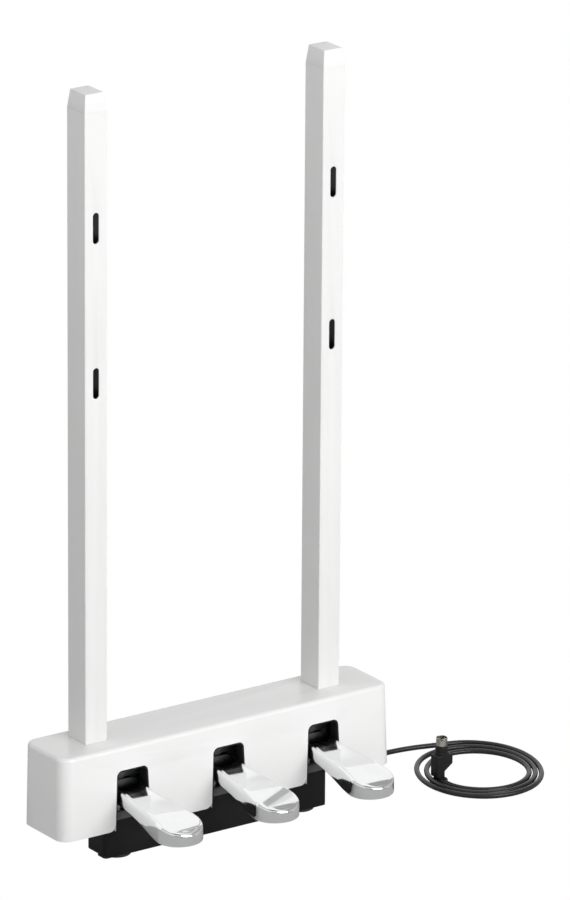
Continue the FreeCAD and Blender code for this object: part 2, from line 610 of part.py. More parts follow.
def pivot_bracket(x):
    """U bracket on the chassis plate whose cheeks carry the pivot pin."""
    inner = bracket_half_width()
    outer = inner + BRACKET_WALL
    y0, y1 = Y_PIVOT - BRACKET_HALF_DEPTH, Y_PIVOT + BRACKET_HALF_DEPTH
    bracket = box(x - outer, x + outer, y0, y1, PLATE_TOP, BRACKET_TOP)
    bracket = bracket.cut(box(x - inner, x + inner, y0 - 1, y1 + 1, PLATE_TOP + BRACKET_WALL,
                              BRACKET_TOP + 1))
    upper = [e for e in bracket.Edges
             if abs(e.Vertexes[0].Z - BRACKET_TOP) < 1e-6 and abs(e.Vertexes[1].Z - BRACKET_TOP) < 1e-6
             and abs(e.Vertexes[0].Y - e.Vertexes[1].Y) < 1e-6]
    bracket = bracket.makeChamfer(2.0, upper)
    return bracket.cut(rod(x - outer - 1, Y_PIVOT, PIVOT_HEIGHT, PIN_RADIUS, 2 * outer + 2,
                           Vector(1, 0, 0)))


def pivot_pin(x):
    half = bracket_half_width() + BRACKET_WALL + 2.0
    pin = rod(x - half, Y_PIVOT, PIVOT_HEIGHT, PIN_RADIUS, 2 * half, Vector(1, 0, 0))
    for side in (-1, 1):
        start = x + side * (bracket_half_width() + BRACKET_WALL + CLIP_THICKNESS)
        groove = tube(start, Y_PIVOT, PIVOT_HEIGHT, PIN_RADIUS + 1, PIN_RADIUS - 0.6,
                      CLIP_THICKNESS, Vector(-side, 0, 0))
        pin = pin.cut(groove)
    return pin


def pivot_clips():
    """Spring clips in the pins' grooves, one on each side of each bracket."""
    clips = []
    for _, x in PEDALS:
        for side in (-1, 1):
            start = x + side * (bracket_half_width() + BRACKET_WALL + CLIP_THICKNESS)
            ring = tube(start, Y_PIVOT, PIVOT_HEIGHT, PIN_RADIUS + 2, PIN_RADIUS - 0.6,
                        CLIP_THICKNESS, Vector(-side, 0, 0))
            mouth = box(start - 2, start + 2, Y_PIVOT - 1.6, Y_PIVOT + 1.6,
                        PIVOT_HEIGHT - PIN_RADIUS - 3, PIVOT_HEIGHT - 1)
            clips.append(ring.cut(mouth))
    return Part.makeCompound(clips)


def return_spring(x):
    """Compression spring between the chassis plate and the web of the arm."""
    foot, head = PLATE_TOP + REST_GAP, ARM_TOP - ARM_WALL - REST_GAP
    height = head - foot - 2 * SPRING_WIRE
    middle = SPRING_RADIUS - SPRING_WIRE
    helix = Part.makeHelix(height / SPRING_TURNS, height, middle)
    section = Part.Wire(Part.makeCircle(SPRING_WIRE, Vector(middle, 0, 0), Vector(0, 1, 0)))
    coil = Part.Wire(helix.Edges).makePipeShell([section], True, True)
    coil.translate(Vector(x, Y_SPRING, foot + SPRING_WIRE))
    return coil


def spring_cup(x):
    """Plastic peg on the chassis plate that keeps the spring's foot in place."""
    radius = SPRING_RADIUS - 2 * SPRING_WIRE - REST_GAP
    peg = rod(x, Y_SPRING, PLATE_TOP, radius, 6.0)
    return peg.makeChamfer(1.0, [peg.Edges[0]])


def upper_stop(x):
    """Rubber pad under the crossbeam against which the arm rests."""
    half = UPPER_STOP_WIDTH / 2
    y = Y_FRONT + UPPER_STOP_SETBACK
    return rounded_block(x - half, x + half, y, y + UPPER_STOP_DEPTH, ARM_TOP + REST_GAP,
                         BEAM_UNDERSIDE, 1.5)


# ---- sensor board ---------------------------------------------------------------------------
def sensor_board():
    half = BOARD_WIDTH / 2
    board = box(-half, half, Y_BOARD, Y_BOARD + BOARD_THICKNESS, PLATE_TOP, PLATE_TOP + BOARD_HEIGHT)
    for x in BOARD_SCREWS:
        board = board.cut(rod(x, Y_BOARD - 1, BOARD_SCREW_Z, 1.6,
                              BOARD_THICKNESS + 2, Vector(0, 1, 0)))
    return board


def board_clips():
    """Two angle clips that hold the board upright on the chassis plate."""
    clips = []
    for x in BOARD_SCREWS:
        foot = box(x - 5, x + 5, Y_BOARD - 9, Y_BOARD, PLATE_TOP, PLATE_TOP + 1.5)
        face = box(x - 5, x + 5, Y_BOARD - 1.5, Y_BOARD, PLATE_TOP, PLATE_TOP + BOARD_CLIP_HEIGHT)
        clip = foot.fuse(face).removeSplitter()
        clips.append(clip.cut(rod(x, Y_BOARD - 3, BOARD_SCREW_Z, 1.5, 6, Vector(0, 1, 0))))
    return Part.makeCompound(clips)


def board_screws():
    return Part.makeCompound([screw(x, Y_BOARD - 1.5, BOARD_SCREW_Z, 1.5 + BOARD_THICKNESS,
                                    Vector(0, 1, 0), 1.5, 1.2, 2.8) for x in BOARD_SCREWS])


def position_sensor(x):
    """Reflective sensor on the board behind the tail of the arm."""
    width, depth, height = SENSOR_SIZE
    return box(x - width / 2, x + width / 2, Y_BOARD - depth, Y_BOARD, PIVOT_HEIGHT - height / 2,
               PIVOT_HEIGHT + height / 2)


def board_connector():
    width, depth, height = CONNECTOR_SIZE
    return box(CONNECTOR_X - width / 2, CONNECTOR_X + width / 2, Y_BOARD - depth, Y_BOARD,
               CONNECTOR_HEIGHT - height / 2, CONNECTOR_HEIGHT + height / 2)


# ---- cord, gland and plug ---------------------------------------------------------------------
def cord_gland():
    """Grommet in the tray's rear wall with a flange on both sides and a sleeve outside."""
    back = Vector(0, 1, 0)
    bore = CORD_RADIUS + FIT / 2
    inside = TRAY_BACK - TRAY_WALL - GLAND_FLANGE
    shape = fused([
        rod(GLAND_X, inside, GLAND_HEIGHT, GLAND_FLANGE_RADIUS, GLAND_FLANGE, back),
        rod(GLAND_X, inside, GLAND_HEIGHT, GLAND_NECK_RADIUS, TRAY_WALL + 2 * GLAND_FLANGE, back),
        rod(GLAND_X, TRAY_BACK, GLAND_HEIGHT, GLAND_FLANGE_RADIUS, GLAND_FLANGE, back),
        rod(GLAND_X, TRAY_BACK, GLAND_HEIGHT, GLAND_SLEEVE_RADIUS, GLAND_SLEEVE, back)])
    return shape.cut(rod(GLAND_X, inside - 1, GLAND_HEIGHT, bore, TRAY_WALL + 15, back))


def cord_tube(label, route):
    """Round cord along straight runs joined by tangent arcs, each as large as its runs allow."""
    points = [Vector(*p) for p in route]
    edges, radii = [], []
    at = points[0]
    for before, corner, after in zip(points, points[1:], points[2:]):
        into, out = (corner - before), (after - corner)
        shorter = min(into.Length, out.Length)
        into.normalize()
        out.normalize()
        turn = into.getAngle(out)
        cut = 0.45 * shorter
        radius = cut / math.tan(turn / 2)
        start, end = corner - into * cut, corner + out * cut
        inward = (out - into).normalize()
        middle = corner + inward * (radius / math.cos(turn / 2) - radius)
        edges += [Part.LineSegment(at, start).toShape(), Part.Arc(start, middle, end).toShape()]
        radii.append(radius)
        at = end
    edges.append(Part.LineSegment(at, points[-1]).toShape())
    path = Part.Wire(edges)
    heading = points[1] - points[0]
    section = Part.Wire(Part.makeCircle(CORD_RADIUS, points[0], heading))
    solid = path.makePipeShell([section], True, True)
    wanted = math.pi * CORD_RADIUS ** 2 * path.Length
    print(label, "length", round(path.Length, 1), "volume ratio", round(solid.Volume / wanted, 5))
    print(label, "arc radii", [round(r, 1) for r in radii])
    return solid


def ellipse_prism(axes, height):
    centre = Vector(*COIL_CENTRE, 0)
    ellipse = Part.Ellipse(Vector(0, 0, 0), *axes).toShape()
    ellipse.rotate(Vector(0, 0, 0), Vector(0, 0, 1), COIL_TURN_DEG)
    ellipse.translate(centre)
    return Part.Face(Part.Wire(ellipse)).extrude(Vector(0, 0, height))


def cord_coil(lead):
    """Outer shape of the wound turns, which lie side by side on the floor."""
    height = 2 * CORD_RADIUS
    ring = ellipse_prism(COIL_OUTER, height).cut(ellipse_prism(COIL_INNER, height))
    return ring.cut(lead).cut(plug_block(PLUG_TAIL, PLUG_TAIL_X, 0, height))


def plug_block(size, x, z0, z1):
    """Upright block of the plug, about the given X."""
    width, depth = size
    return box(x - width / 2, x + width / 2, PLUG_Y - depth / 2, PLUG_Y + depth / 2, z0, z1)


def plug_body():
    """Moulded grip that stands on its tail, with a collar round the metal shell."""
    outlines = []
    for (width, depth), x, z in ((PLUG_TAIL, PLUG_TAIL_X, PLUG_TAIL_TOP - PLUG_GRIP_SLOPE),
                                 (PLUG_GRIP, PLUG_X, PLUG_TAIL_TOP)):
        outlines.append(rounded_outline(x - width / 2, x + width / 2, PLUG_Y - depth / 2,
                                        PLUG_Y + depth / 2, z, 1.5, 1.5))
    slope = Part.makeLoft(outlines, True, True)
    tail = plug_block(PLUG_TAIL, PLUG_TAIL_X, 0, PLUG_TAIL_TOP - PLUG_GRIP_SLOPE)
    grip = plug_block(PLUG_GRIP, PLUG_X, PLUG_TAIL_TOP, PLUG_GRIP_TOP)
    grip = grip.makeChamfer(2.5, [e for e in grip.Edges if abs(e.Vertexes[0].Z - e.Vertexes[1].Z) > 1])
    collar = rod(PLUG_X, PLUG_Y, PLUG_GRIP_TOP, PLUG_COLLAR_RADIUS, PLUG_COLLAR_TOP - PLUG_GRIP_TOP)
    hole = rod(PLUG_X, PLUG_Y, PLUG_COLLAR_TOP - PLUG_INSERT_SEAT, PLUG_SHELL_RADIUS - PLUG_SHELL_WALL,
               PLUG_INSERT_SEAT + 1)
    return fused([tail, slope, grip, collar]).cut(hole)


def plug_shell():
    return tube(PLUG_X, PLUG_Y, PLUG_COLLAR_TOP, PLUG_SHELL_RADIUS, PLUG_SHELL_RADIUS - PLUG_SHELL_WALL,
                PLUG_SHELL_TOP - PLUG_COLLAR_TOP)


def plug_insert():
    """Insulating disc inside the shell that holds the contact pins."""
    seat = PLUG_COLLAR_TOP - PLUG_INSERT_SEAT
    inner = PLUG_SHELL_RADIUS - PLUG_SHELL_WALL
    shapes = [rod(PLUG_X, PLUG_Y, seat, inner, PLUG_INSERT_TOP - seat)]
    for i in range(PLUG_PINS):
        turn = 2 * math.pi * i / PLUG_PINS
        shapes.append(rod(PLUG_X + PLUG_PIN_CIRCLE * math.cos(turn),
                          PLUG_Y + PLUG_PIN_CIRCLE * math.sin(turn),
                          PLUG_INSERT_TOP, PLUG_PIN_RADIUS, PLUG_PIN_TOP - PLUG_INSERT_TOP))
    return fused(shapes)


# ---- fasteners in groups ------------------------------------------------------------------------
def housing_screws():
    return Part.makeCompound([screw(x, y, PLATE_BOTTOM, PLATE_THICKNESS + SCREW_GRIP, Vector(0, 0, 1))
                              for x, y in HOUSING_BOSSES])


def tray_screws():
    return Part.makeCompound([screw(x, y, PLATE_TOP, PLATE_THICKNESS + SCREW_GRIP, Vector(0, 0, -1))
                              for x, y in TRAY_BOSSES])


def column_screws():
    """One screw from below and one from above in each column."""
    floor = BEAM_UNDERSIDE + BEAM_WALL
    screws = []
    for x, y in COLUMNS:
        screws.append(screw(x, y, PLATE_BOTTOM, PLATE_THICKNESS + SCREW_GRIP, Vector(0, 0, 1)))
        screws.append(screw(x, y, floor, BEAM_WALL + SCREW_GRIP, Vector(0, 0, -1)))
    return Part.makeCompound(screws)


def post_bolts():
    rear = Y_POST + BEAM_HALF_DEPTH
    return Part.makeCompound([screw(side * POST_X, rear, z, 2 * BEAM_HALF_DEPTH, Vector(0, -1, 0),
                                    BOLT_RADIUS, BOLT_HEAD, BOLT_HEAD_RADIUS)
                              for _, side in SIDES for z in BOLT_HEIGHTS])


# ---- all pieces ------------------------------------------------------------------------------------
def main():
    os.makedirs("parts", exist_ok=True)
    export("housing_shell", housing_shell())
    export("base_tray", base_tray())
    export("chassis_plate", chassis_plate())
    export("crossbeam", crossbeam())
    export("beam_columns", columns())
    for name, side in SIDES:
        export(name + "_post", post(side * POST_X))
        export(name + "_post_cap", post_cap(side * POST_X))
    for name, x in PEDALS:
        export(name + "_slot_liner", slot_liner(x))
        export(name + "_stop_felt", stop_felt(x))
        export(name + "_pedal", pedal(x))
        export(name + "_pedal_arm", pedal_arm(x))
        export(name + "_pedal_screws", pedal_screws(x))
        export(name + "_pivot_bushes", pivot_bushes(x))
        export(name + "_pivot_bracket", pivot_bracket(x))
        export(name + "_pivot_pin", pivot_pin(x))
        export(name + "_return_spring", return_spring(x))
    export("pivot_clips", pivot_clips())
    export("spring_cups", Part.makeCompound([spring_cup(x) for _, x in PEDALS]))
    export("upper_stops", Part.makeCompound([upper_stop(x) for _, x in PEDALS]))
    export("front_feet", feet(FRONT_FOOT_RADIUS, FRONT_FOOT_SPACING, Y_TRAY + FRONT_FOOT_RADIUS))
    export("rear_feet", feet(REAR_FOOT_RADIUS, REAR_FOOT_SPACING, TRAY_BACK - REAR_FOOT_RADIUS - 2.5))
    export("sensor_board", sensor_board())
    export("board_clips", board_clips())
    export("board_screws", board_screws())
    export("position_sensors", Part.makeCompound([position_sensor(x) for _, x in PEDALS]))
    export("board_connector", board_connector())
    export("cord_gland", cord_gland())
    export("inner_lead", cord_tube("inner lead", INNER_ROUTE))
    lead = cord_tube("lead", LEAD_ROUTE)
    export("cord_lead", lead)
    export("cord_coil", cord_coil(lead))
    export("plug_body", plug_body())
    export("plug_shell", plug_shell())
    export("plug_insert", plug_insert())
    export("housing_screws", housing_screws())
    export("tray_screws", tray_screws())
    export("column_screws", column_screws())
    export("post_bolts", post_bolts())


main()
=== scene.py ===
"""Looks of a three-pedal unit: white housing and posts, chromed pedals, coiled lead with a round plug."""

import json
import math

import bmesh
import bpy
import numpy as np
from mathutils import Matrix, Vector


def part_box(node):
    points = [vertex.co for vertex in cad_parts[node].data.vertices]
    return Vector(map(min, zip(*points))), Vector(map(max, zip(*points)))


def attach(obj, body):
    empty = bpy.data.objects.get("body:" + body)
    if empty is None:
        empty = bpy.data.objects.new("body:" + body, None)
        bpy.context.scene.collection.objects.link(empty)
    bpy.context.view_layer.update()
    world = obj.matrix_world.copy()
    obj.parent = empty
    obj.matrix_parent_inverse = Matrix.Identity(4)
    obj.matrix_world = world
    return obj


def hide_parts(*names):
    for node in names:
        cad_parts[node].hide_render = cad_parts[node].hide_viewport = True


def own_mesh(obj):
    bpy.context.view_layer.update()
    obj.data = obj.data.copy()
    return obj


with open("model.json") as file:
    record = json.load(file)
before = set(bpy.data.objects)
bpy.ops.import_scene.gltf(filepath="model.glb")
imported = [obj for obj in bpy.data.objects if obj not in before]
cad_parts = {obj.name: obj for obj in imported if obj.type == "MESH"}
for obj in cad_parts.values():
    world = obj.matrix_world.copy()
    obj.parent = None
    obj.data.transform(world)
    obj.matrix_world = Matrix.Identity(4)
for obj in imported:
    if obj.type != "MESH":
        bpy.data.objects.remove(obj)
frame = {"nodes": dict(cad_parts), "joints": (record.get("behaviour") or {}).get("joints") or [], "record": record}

bl_info = {
    "name": "Pedal Unit",
    "version": (1, 0, 0),
    "blender": (4, 5, 0),
    "location": "View3D > Sidebar > Pedal Unit",
    "description": "Builds the visible pieces and finishes of a three-pedal unit on its frame",
    "category": "Object",
}

MM = 0.001
CHASSIS = "chassis"
SIDES = ("left", "right")
PEDALS = ("left", "middle", "right")

WHITE = (1.0, 1.0, 1.0, 1.0)
# near-black painted shade for the inside of the post tubes
PAINTED_SHADE_INSIDE = (0.01, 0.01, 0.01, 1.0)
SENSOR_WIDTH = 36.0  # millimetres
VIEW_END = 60.0  # metres
SHARP = math.radians(35)  # edges above this stay sharp, and are the ones that get rounded
ROUNDING_STEPS = 3
FLAT = math.radians(0.2)  # triangles that meet at less than this are merged
WELD = 1e-6  # metres
OVERLAP = 0.4 * MM  # how far one part of the plug reaches into the next

# route of the lead from the grommet to the first turn of the coil, in metres
LEAD_ROUTE = ((0.0700, 0.0687, 0.0155), (0.0700, 0.0825, 0.0155), (0.0760, 0.0950, 0.0109),
              (0.0895, 0.1030, 0.0051), (0.1080, 0.1044, 0.0024), (0.1340, 0.1012, 0.0021),
              (0.1630, 0.0964, 0.0021), (0.1910, 0.0942, 0.0021), (0.2160, 0.0944, 0.0021),
              (0.2360, 0.0910, 0.0021))
# side view of a pedal, in metres: distance behind the housing's front, height above the floor
PEDAL_TOP = ((0.0190, 0.0648), (0.0080, 0.0646), (0.0000, 0.0636), (-0.0080, 0.0616), (-0.0170, 0.0607),
             (-0.0320, 0.0598), (-0.0470, 0.0588), (-0.0590, 0.0573), (-0.0690, 0.0549),
             (-0.0770, 0.0519), (-0.0815, 0.0492))
PEDAL_LOW = ((0.0190, 0.0510), (0.0000, 0.0510), (-0.0140, 0.0500), (-0.0270, 0.0484), (-0.0390, 0.0460),
             (-0.0520, 0.0430), (-0.0640, 0.0418), (-0.0815, 0.0418))


# ---- settings ---------------------------------------------------------------------------------
def length(name, default, description):
    return bpy.props.FloatProperty(name=name, default=default, description=description, min=0.0,
                                   unit="LENGTH", precision=4)


def share(name, default, description):
    return bpy.props.FloatProperty(name=name, default=default, description=description, min=0.0, max=1.0,
                                   subtype="FACTOR")


def colour(name, default, description):
    return bpy.props.FloatVectorProperty(name=name, default=default, description=description, size=3,
                                         min=0.0, max=1.0, subtype="COLOR")


class StageSettings(bpy.types.PropertyGroup):
    azimuth: bpy.props.FloatProperty(name="Azimuth", default=math.radians(-35.017), subtype="ANGLE",
                                     description="Camera's direction round the unit")
    elevation: bpy.props.FloatProperty(name="Elevation", default=math.radians(18.782), subtype="ANGLE",
                                       description="Camera's height above the horizon")
    roll: bpy.props.FloatProperty(name="Roll", default=math.radians(0.404), subtype="ANGLE",
                                  description="Turn of the camera about its own axis")
    distance: length("Distance", 6.2019, "Camera to the point it looks at")
    lens: bpy.props.FloatProperty(name="Lens", default=322.46, description="Focal length in millimetres",
                                  min=1.0)
    aim: bpy.props.FloatVectorProperty(name="Aim", default=(0.07388, 0.04535, 0.29565), subtype="XYZ",
                                       description="Point that the camera looks at", unit="LENGTH")
    floor_size: length("Floor size", 14.0, "Side of the floor")
    floor_step: length("Floor step", 0.5 * MM, "Depth of the grey floor under the white one")
    bounce: share("Bounce", 0.60, "How much light the floor throws back")
    sky: bpy.props.FloatProperty(name="Sky", default=0.73, description="Mean strength of the room's light")
    sky_lean: bpy.props.FloatVectorProperty(name="Sky lean", default=(-0.12, -0.18, -0.30), subtype="XYZ",
                                            description="How the room's light grows along each axis")
    key_power: bpy.props.FloatProperty(name="Key light", default=62.0, description="Power in watts",
                                       min=0.0)
    key_place: bpy.props.FloatVectorProperty(name="Key place", default=(0.5, -2.9, 1.5), subtype="XYZ",
                                             description="Where the key light stands", unit="LENGTH")
    key_width: length("Key width", 2.2, "Width of the key light")
    key_height: length("Key height", 1.4, "Height of the key light")
    card_glow: bpy.props.FloatProperty(name="Reflector", default=1.08, min=0.0,
                                       description="Brightness of the white reflector cards")
    dark_glow: share("Dark card", 0.10, "Brightness of the dark reflector cards")
    slot_glow: share("Slot card", 0.92, "Brightness of the cards before the slots")
    slot_gap: length("Slot card gap", 4.2 * MM, "From a pedal's root up to its card")


class HousingSettings(bpy.types.PropertyGroup):
    edge: length("Edge rounding", 0.35 * MM, "Rounding of the moulded edges")
    white: colour("White", (0.83, 0.83, 0.825), "Colour of the housing")
    gloss: share("Roughness", 0.27, "Roughness of the housing's surface")


class PostSettings(bpy.types.PropertyGroup):
    edge: length("Edge rounding", 0.25 * MM, "Rounding of the slots' edges")
    white: colour("White", (0.80, 0.80, 0.795), "Colour of the powder coat")
    cap_white: colour("Cap white", (0.83, 0.83, 0.825), "Colour of the caps")


class PedalSettings(bpy.types.PropertyGroup):
    tip_radius: length("Tip radius", 18.7 * MM, "Radius of the round tip")
    neck_width: length("Neck width", 25.0 * MM, "Width where the pedal enters the housing")
    waist: length("Waist", 7.0 * MM, "Half length of the bend between neck and flaring side")
    edge: length("Edge radius", 3.6 * MM, "Rounding of the upper edge")
    rim: length("Rim radius", 0.7 * MM, "Rounding of the lower edge")
    wall: length("Wall", 2.6 * MM, "Thickness of the hollow pedal")
    crown: length("Crown", 0.5 * MM, "Height of the pad's middle above its sides")
    chrome: colour("Chrome", (0.84, 0.845, 0.85), "Colour of the plating")
    gloss: share("Roughness", 0.075, "Roughness of the plating")


class CordSettings(bpy.types.PropertyGroup):
    radius: length("Radius", 2.1 * MM, "Radius of the lead")
    turns: bpy.props.FloatProperty(name="Turns", default=2.75, description="Turns of the coil", min=1.0)
    points: bpy.props.IntProperty(name="Points", default=16, description="Route points for each turn",
                                  min=12)
    start: bpy.props.FloatProperty(name="Start", default=math.radians(86.0), subtype="ANGLE",
                                   description="Direction of the coil's first point from its middle")
    middle: bpy.props.FloatVectorProperty(name="Middle", default=(0.24537, 0.02418, 0.0), subtype="XYZ",
                                          unit="LENGTH", description="Middle of the coil on the floor")
    first: length("First turn", 57.2 * MM, "Mean radius at the start")
    oval: share("Oval", 0.086, "How oval the turns lie")
    lean: bpy.props.FloatProperty(name="Lean", default=math.radians(69.9), subtype="ANGLE",
                                  description="Direction of the long axis")
    pitch: length("Pitch", 7.21 * MM, "Mean distance between turns")
    pitch_left: length("Pitch at the left", 0.55 * MM, "How much wider apart the turns lie at the left")
    pitch_back: length("Pitch at the back", 1.90 * MM, "How much wider apart they lie at the back")
    pitch_side: length("Pitch at both sides", 1.18 * MM, "How much closer they lie at left and right")
    pitch_slant: length("Pitch aslant", 0.62 * MM,
                        "How much wider apart they lie at back right and front left")
    black: colour("Black", (0.012, 0.012, 0.013), "Colour of the jacket")


class PlugSettings(bpy.types.PropertyGroup):
    place: bpy.props.FloatVectorProperty(name="Place", default=(0.2124, 0.0252, 0.0), subtype="XYZ",
                                         description="Foot of the plug's axis", unit="LENGTH")
    grip_half: length("Grip half width", 7.5 * MM, "Half width of the grip")
    grip_top: length("Grip top", 22.8 * MM, "Height of the grip")
    front: length("Front", 5.2 * MM, "Front of the grip before the axis")
    back: length("Back", 4.4 * MM, "Back of the grip behind the axis")
    edge: length("Edge rounding", 0.9 * MM, "Rounding of the grip's edges")
    slope_low: length("Slope's foot", 9.3 * MM, "Where the leg starts to widen to the grip")
    slope_top: length("Slope's top", 14.6 * MM, "Where the grip has its full width")
    leg_right: length("Leg", 0.0, "Right side of the leg beside the axis")
    foot_left: length("Foot", 4.9 * MM, "Left side of the leg's foot beside the axis")
    foot_top: length("Foot top", 4.5 * MM, "Height of the step that clears the next turn of the cord")
    collar_radius: length("Collar", 5.1 * MM, "Radius of the collar")
    collar_top: length("Collar top", 30.0 * MM, "Height of the collar")
    shell_radius: length("Shell", 4.5 * MM, "Radius of the metal shell")
    shell_wall: length("Shell wall", 0.5 * MM, "Thickness of the metal shell")
    shell_top: length("Shell top", 36.5 * MM, "Height of the metal shell")
    notch: length("Notch", 1.8 * MM, "Depth of the key notches in the shell")
    pins: bpy.props.IntProperty(name="Pins", default=6, description="Contact pins", min=1)
    pin_circle: length("Pin circle", 2.6 * MM, "Radius of the circle of pins")
    pin_radius: length("Pin radius", 0.5 * MM, "Radius of one pin")
    pin_length: length("Pin length", 4.0 * MM, "Length of a pin outside the insert")


def settings(group):
    return getattr(bpy.context.scene, "pedal_unit_" + group)


# ---- shader maths -----------------------------------------------------------------------------
class Wire:
    """A socket's value in a shader tree, with arithmetic that adds Math nodes."""

    def __init__(self, finish, socket):
        self.finish = finish
        self.socket = socket

    def _math(self, operation, first, second):
        node = self.finish.node("ShaderNodeMath", {"operation": operation}, {0: first, 1: second})
        return Wire(self.finish, node.outputs[0])

    def __add__(self, other):
        return self._math("ADD", self, other)

    def __sub__(self, other):
        return self._math("SUBTRACT", self, other)

    def __rsub__(self, other):
        return self._math("SUBTRACT", other, self)

    def __mul__(self, other):
        return self._math("MULTIPLY", self, other)

    def __abs__(self):
        return self._math("ABSOLUTE", self, 0.0)

    def __lt__(self, other):
        return self._math("LESS_THAN", self, other)

    __radd__ = __add__
    __rmul__ = __mul__


class Finish:
    """One material or world tree, built node by node."""

    def __init__(self, owner):
        owner.use_nodes = True
        self.tree = owner.node_tree
        self.tree.nodes.clear()

    def node(self, kind, choices=None, values=None):
        node = self.tree.nodes.new(kind)
        for key, value in (choices or {}).items():
            setattr(node, key, value)
        for key, value in (values or {}).items():
            if isinstance(value, Wire):
                self.tree.links.new(value.socket, node.inputs[key])
            else:
                node.inputs[key].default_value = value
        return node

    def wire(self, kind, choices=None, values=None, output=0):
        return Wire(self, self.node(kind, choices, values).outputs[output])

    def axes(self):
        return self.split(self.wire("ShaderNodeTexCoord", output="Object"))

    def split(self, vector):
        parts = self.node("ShaderNodeSeparateXYZ", values={0: vector})
        return [Wire(self, parts.outputs[i]) for i in range(3)]

    def place(self, scale=(1.0, 1.0, 1.0)):
        where = self.wire("ShaderNodeTexCoord", output="Object")
        return self.wire("ShaderNodeMapping", values={"Vector": where, "Scale": scale})

    def noise(self, per_metre, detail=2.0, roughness=0.5, stretch=(1.0, 1.0, 1.0)):
        scale = tuple(per_metre * s for s in stretch)
        return self.wire("ShaderNodeTexNoise", values={"Vector": self.place(scale), "Scale": 1.0,
                                                       "Detail": detail, "Roughness": roughness})

    def cells(self, per_metre, feature="F1"):
        return self.wire("ShaderNodeTexVoronoi", {"feature": feature},
                         {"Vector": self.place((per_metre,) * 3), "Scale": 1.0})

    def ramp(self, value, low, high):
        return self.wire("ShaderNodeMapRange", {"clamp": True}, {"Value": value, 1: low, 2: high})

    def mix(self, factor, first, second):
        node = self.node("ShaderNodeMix", {"data_type": "RGBA"}, {0: factor, 6: first, 7: second})
        return Wire(self, node.outputs[2])

    def bump(self, height, depth, strength=1.0):
        return self.wire("ShaderNodeBump", values={"Height": height, "Distance": depth,
                                                   "Strength": strength})

    def surface(self, values):
        shader = self.wire("ShaderNodeBsdfPrincipled", values=values)
        self.node("ShaderNodeOutputMaterial", values={"Surface": shader})


def rgba(colour_value, gain=1.0):
    return tuple(min(1.0, c * gain) for c in colour_value) + (1.0,)


def material(name):
    made = bpy.data.materials.new(name)
    return made, Finish(made)


def white_moulding(name, colour_value, gloss):
    """Semi-gloss white plastic: faint flow marks in colour and gloss, very fine spark grain."""
    made, f = material(name)
    flow = f.noise(14.0, 3.0)
    grain = f.noise(2600.0, 2.0, 0.6)
    waves = f.noise(60.0, 1.0)
    tone = f.mix(f.ramp(flow, 0.2, 0.8), rgba(colour_value, 0.998), rgba(colour_value, 1.002))
    f.surface({"Base Color": tone, "Roughness": gloss - 0.01 + 0.02 * f.noise(25.0, 2.0),
               "Normal": f.bump(0.3 * grain + 0.7 * waves, 0.02 * MM, 0.05), "IOR": 1.49})
    return made


def powder_coat(name, colour_value):
    """Satin powder coat with a fine orange peel; the inside of the tubes is painted near-black as painted shade.
    """
    made, f = material(name)
    peel = f.noise(900.0, 1.5, 0.4)
    skin = 0.8 * MM
    low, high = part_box("right_post")
    middle, half = (low + high) / 2, (high - low) / 2
    x, y, z = f.axes()
    inside = (abs(abs(x) - middle.x) < half.x - skin) * (abs(y - middle.y) < half.y - skin)
    coat = f.mix(f.ramp(f.noise(9.0, 2.0), 0.3, 0.7), rgba(colour_value, 0.985),
                 rgba(colour_value, 1.01))
    # the inside of the tube is painted near-black: painted shade, not the coat's colour
    f.surface({"Base Color": f.mix(inside * (z < high.z - skin), coat, PAINTED_SHADE_INSIDE),
               "Roughness": 0.33 + 0.08 * f.noise(120.0, 3.0),
               "Normal": f.bump(peel, 0.05 * MM, 0.35), "IOR": 1.5})
    return made


def chrome_plate(name, colour_value, gloss):
    """Polished plating with a trace of buffing along the piece and faint wipe marks."""
    made, f = material(name)
    wipe = f.ramp(f.noise(55.0, 4.0, 0.6), 0.45, 0.75)
    buffing = f.noise(700.0, 2.0, 0.5, (1.0, 0.06, 1.0))
    f.surface({"Base Color": f.mix(wipe, rgba(colour_value), rgba(colour_value, 0.96)), "Metallic": 1.0,
               "Roughness": gloss + 0.05 * wipe,
               "Normal": f.bump(buffing, 0.004 * MM, 0.25)})
    return made


def black_moulding(name, colour_value, gloss, grain_size=0.35 * MM):
    """Matt black plastic with an eroded grain."""
    made, f = material(name)
    grain = f.noise(1.0 / grain_size, 3.0, 0.6)
    f.surface({"Base Color": f.mix(f.ramp(f.noise(40.0, 3.0), 0.3, 0.7), rgba(colour_value, 0.85),
                                   rgba(colour_value, 1.2)),
               "Roughness": gloss + 0.14 * grain, "Normal": f.bump(grain, 0.05 * MM, 0.5), "IOR": 1.48,
               "Specular IOR Level": 0.22})
    return made


def felt_cloth(name, colour_value):
    """Pressed felt: tangled fibres in colour and relief."""
    made, f = material(name)
    fibres = (f.noise(2400.0, 4.0, 0.7, (0.25, 1.0, 1.0)) * 0.5
              + f.noise(2400.0, 4.0, 0.7, (1.0, 1.0, 0.25)) * 0.5)
    f.surface({"Base Color": f.mix(f.ramp(fibres, 0.35, 0.65), rgba(colour_value, 0.6),
                                   rgba(colour_value, 1.35)),
               "Roughness": 0.97, "Normal": f.bump(fibres, 0.15 * MM, 0.9),
               "Sheen Weight": 0.3, "Sheen Roughness": 0.5})
    return made


def soft_rubber(name, colour_value, gloss):
    made, f = material(name)
    dust = f.ramp(f.noise(160.0, 5.0, 0.65), 0.5, 0.8)
    f.surface({"Base Color": f.mix(dust, rgba(colour_value), rgba(colour_value, 1.8)),
               "Roughness": gloss + 0.2 * dust, "Normal": f.bump(f.noise(1800.0, 2.0), 0.03 * MM, 0.5)})
    return made


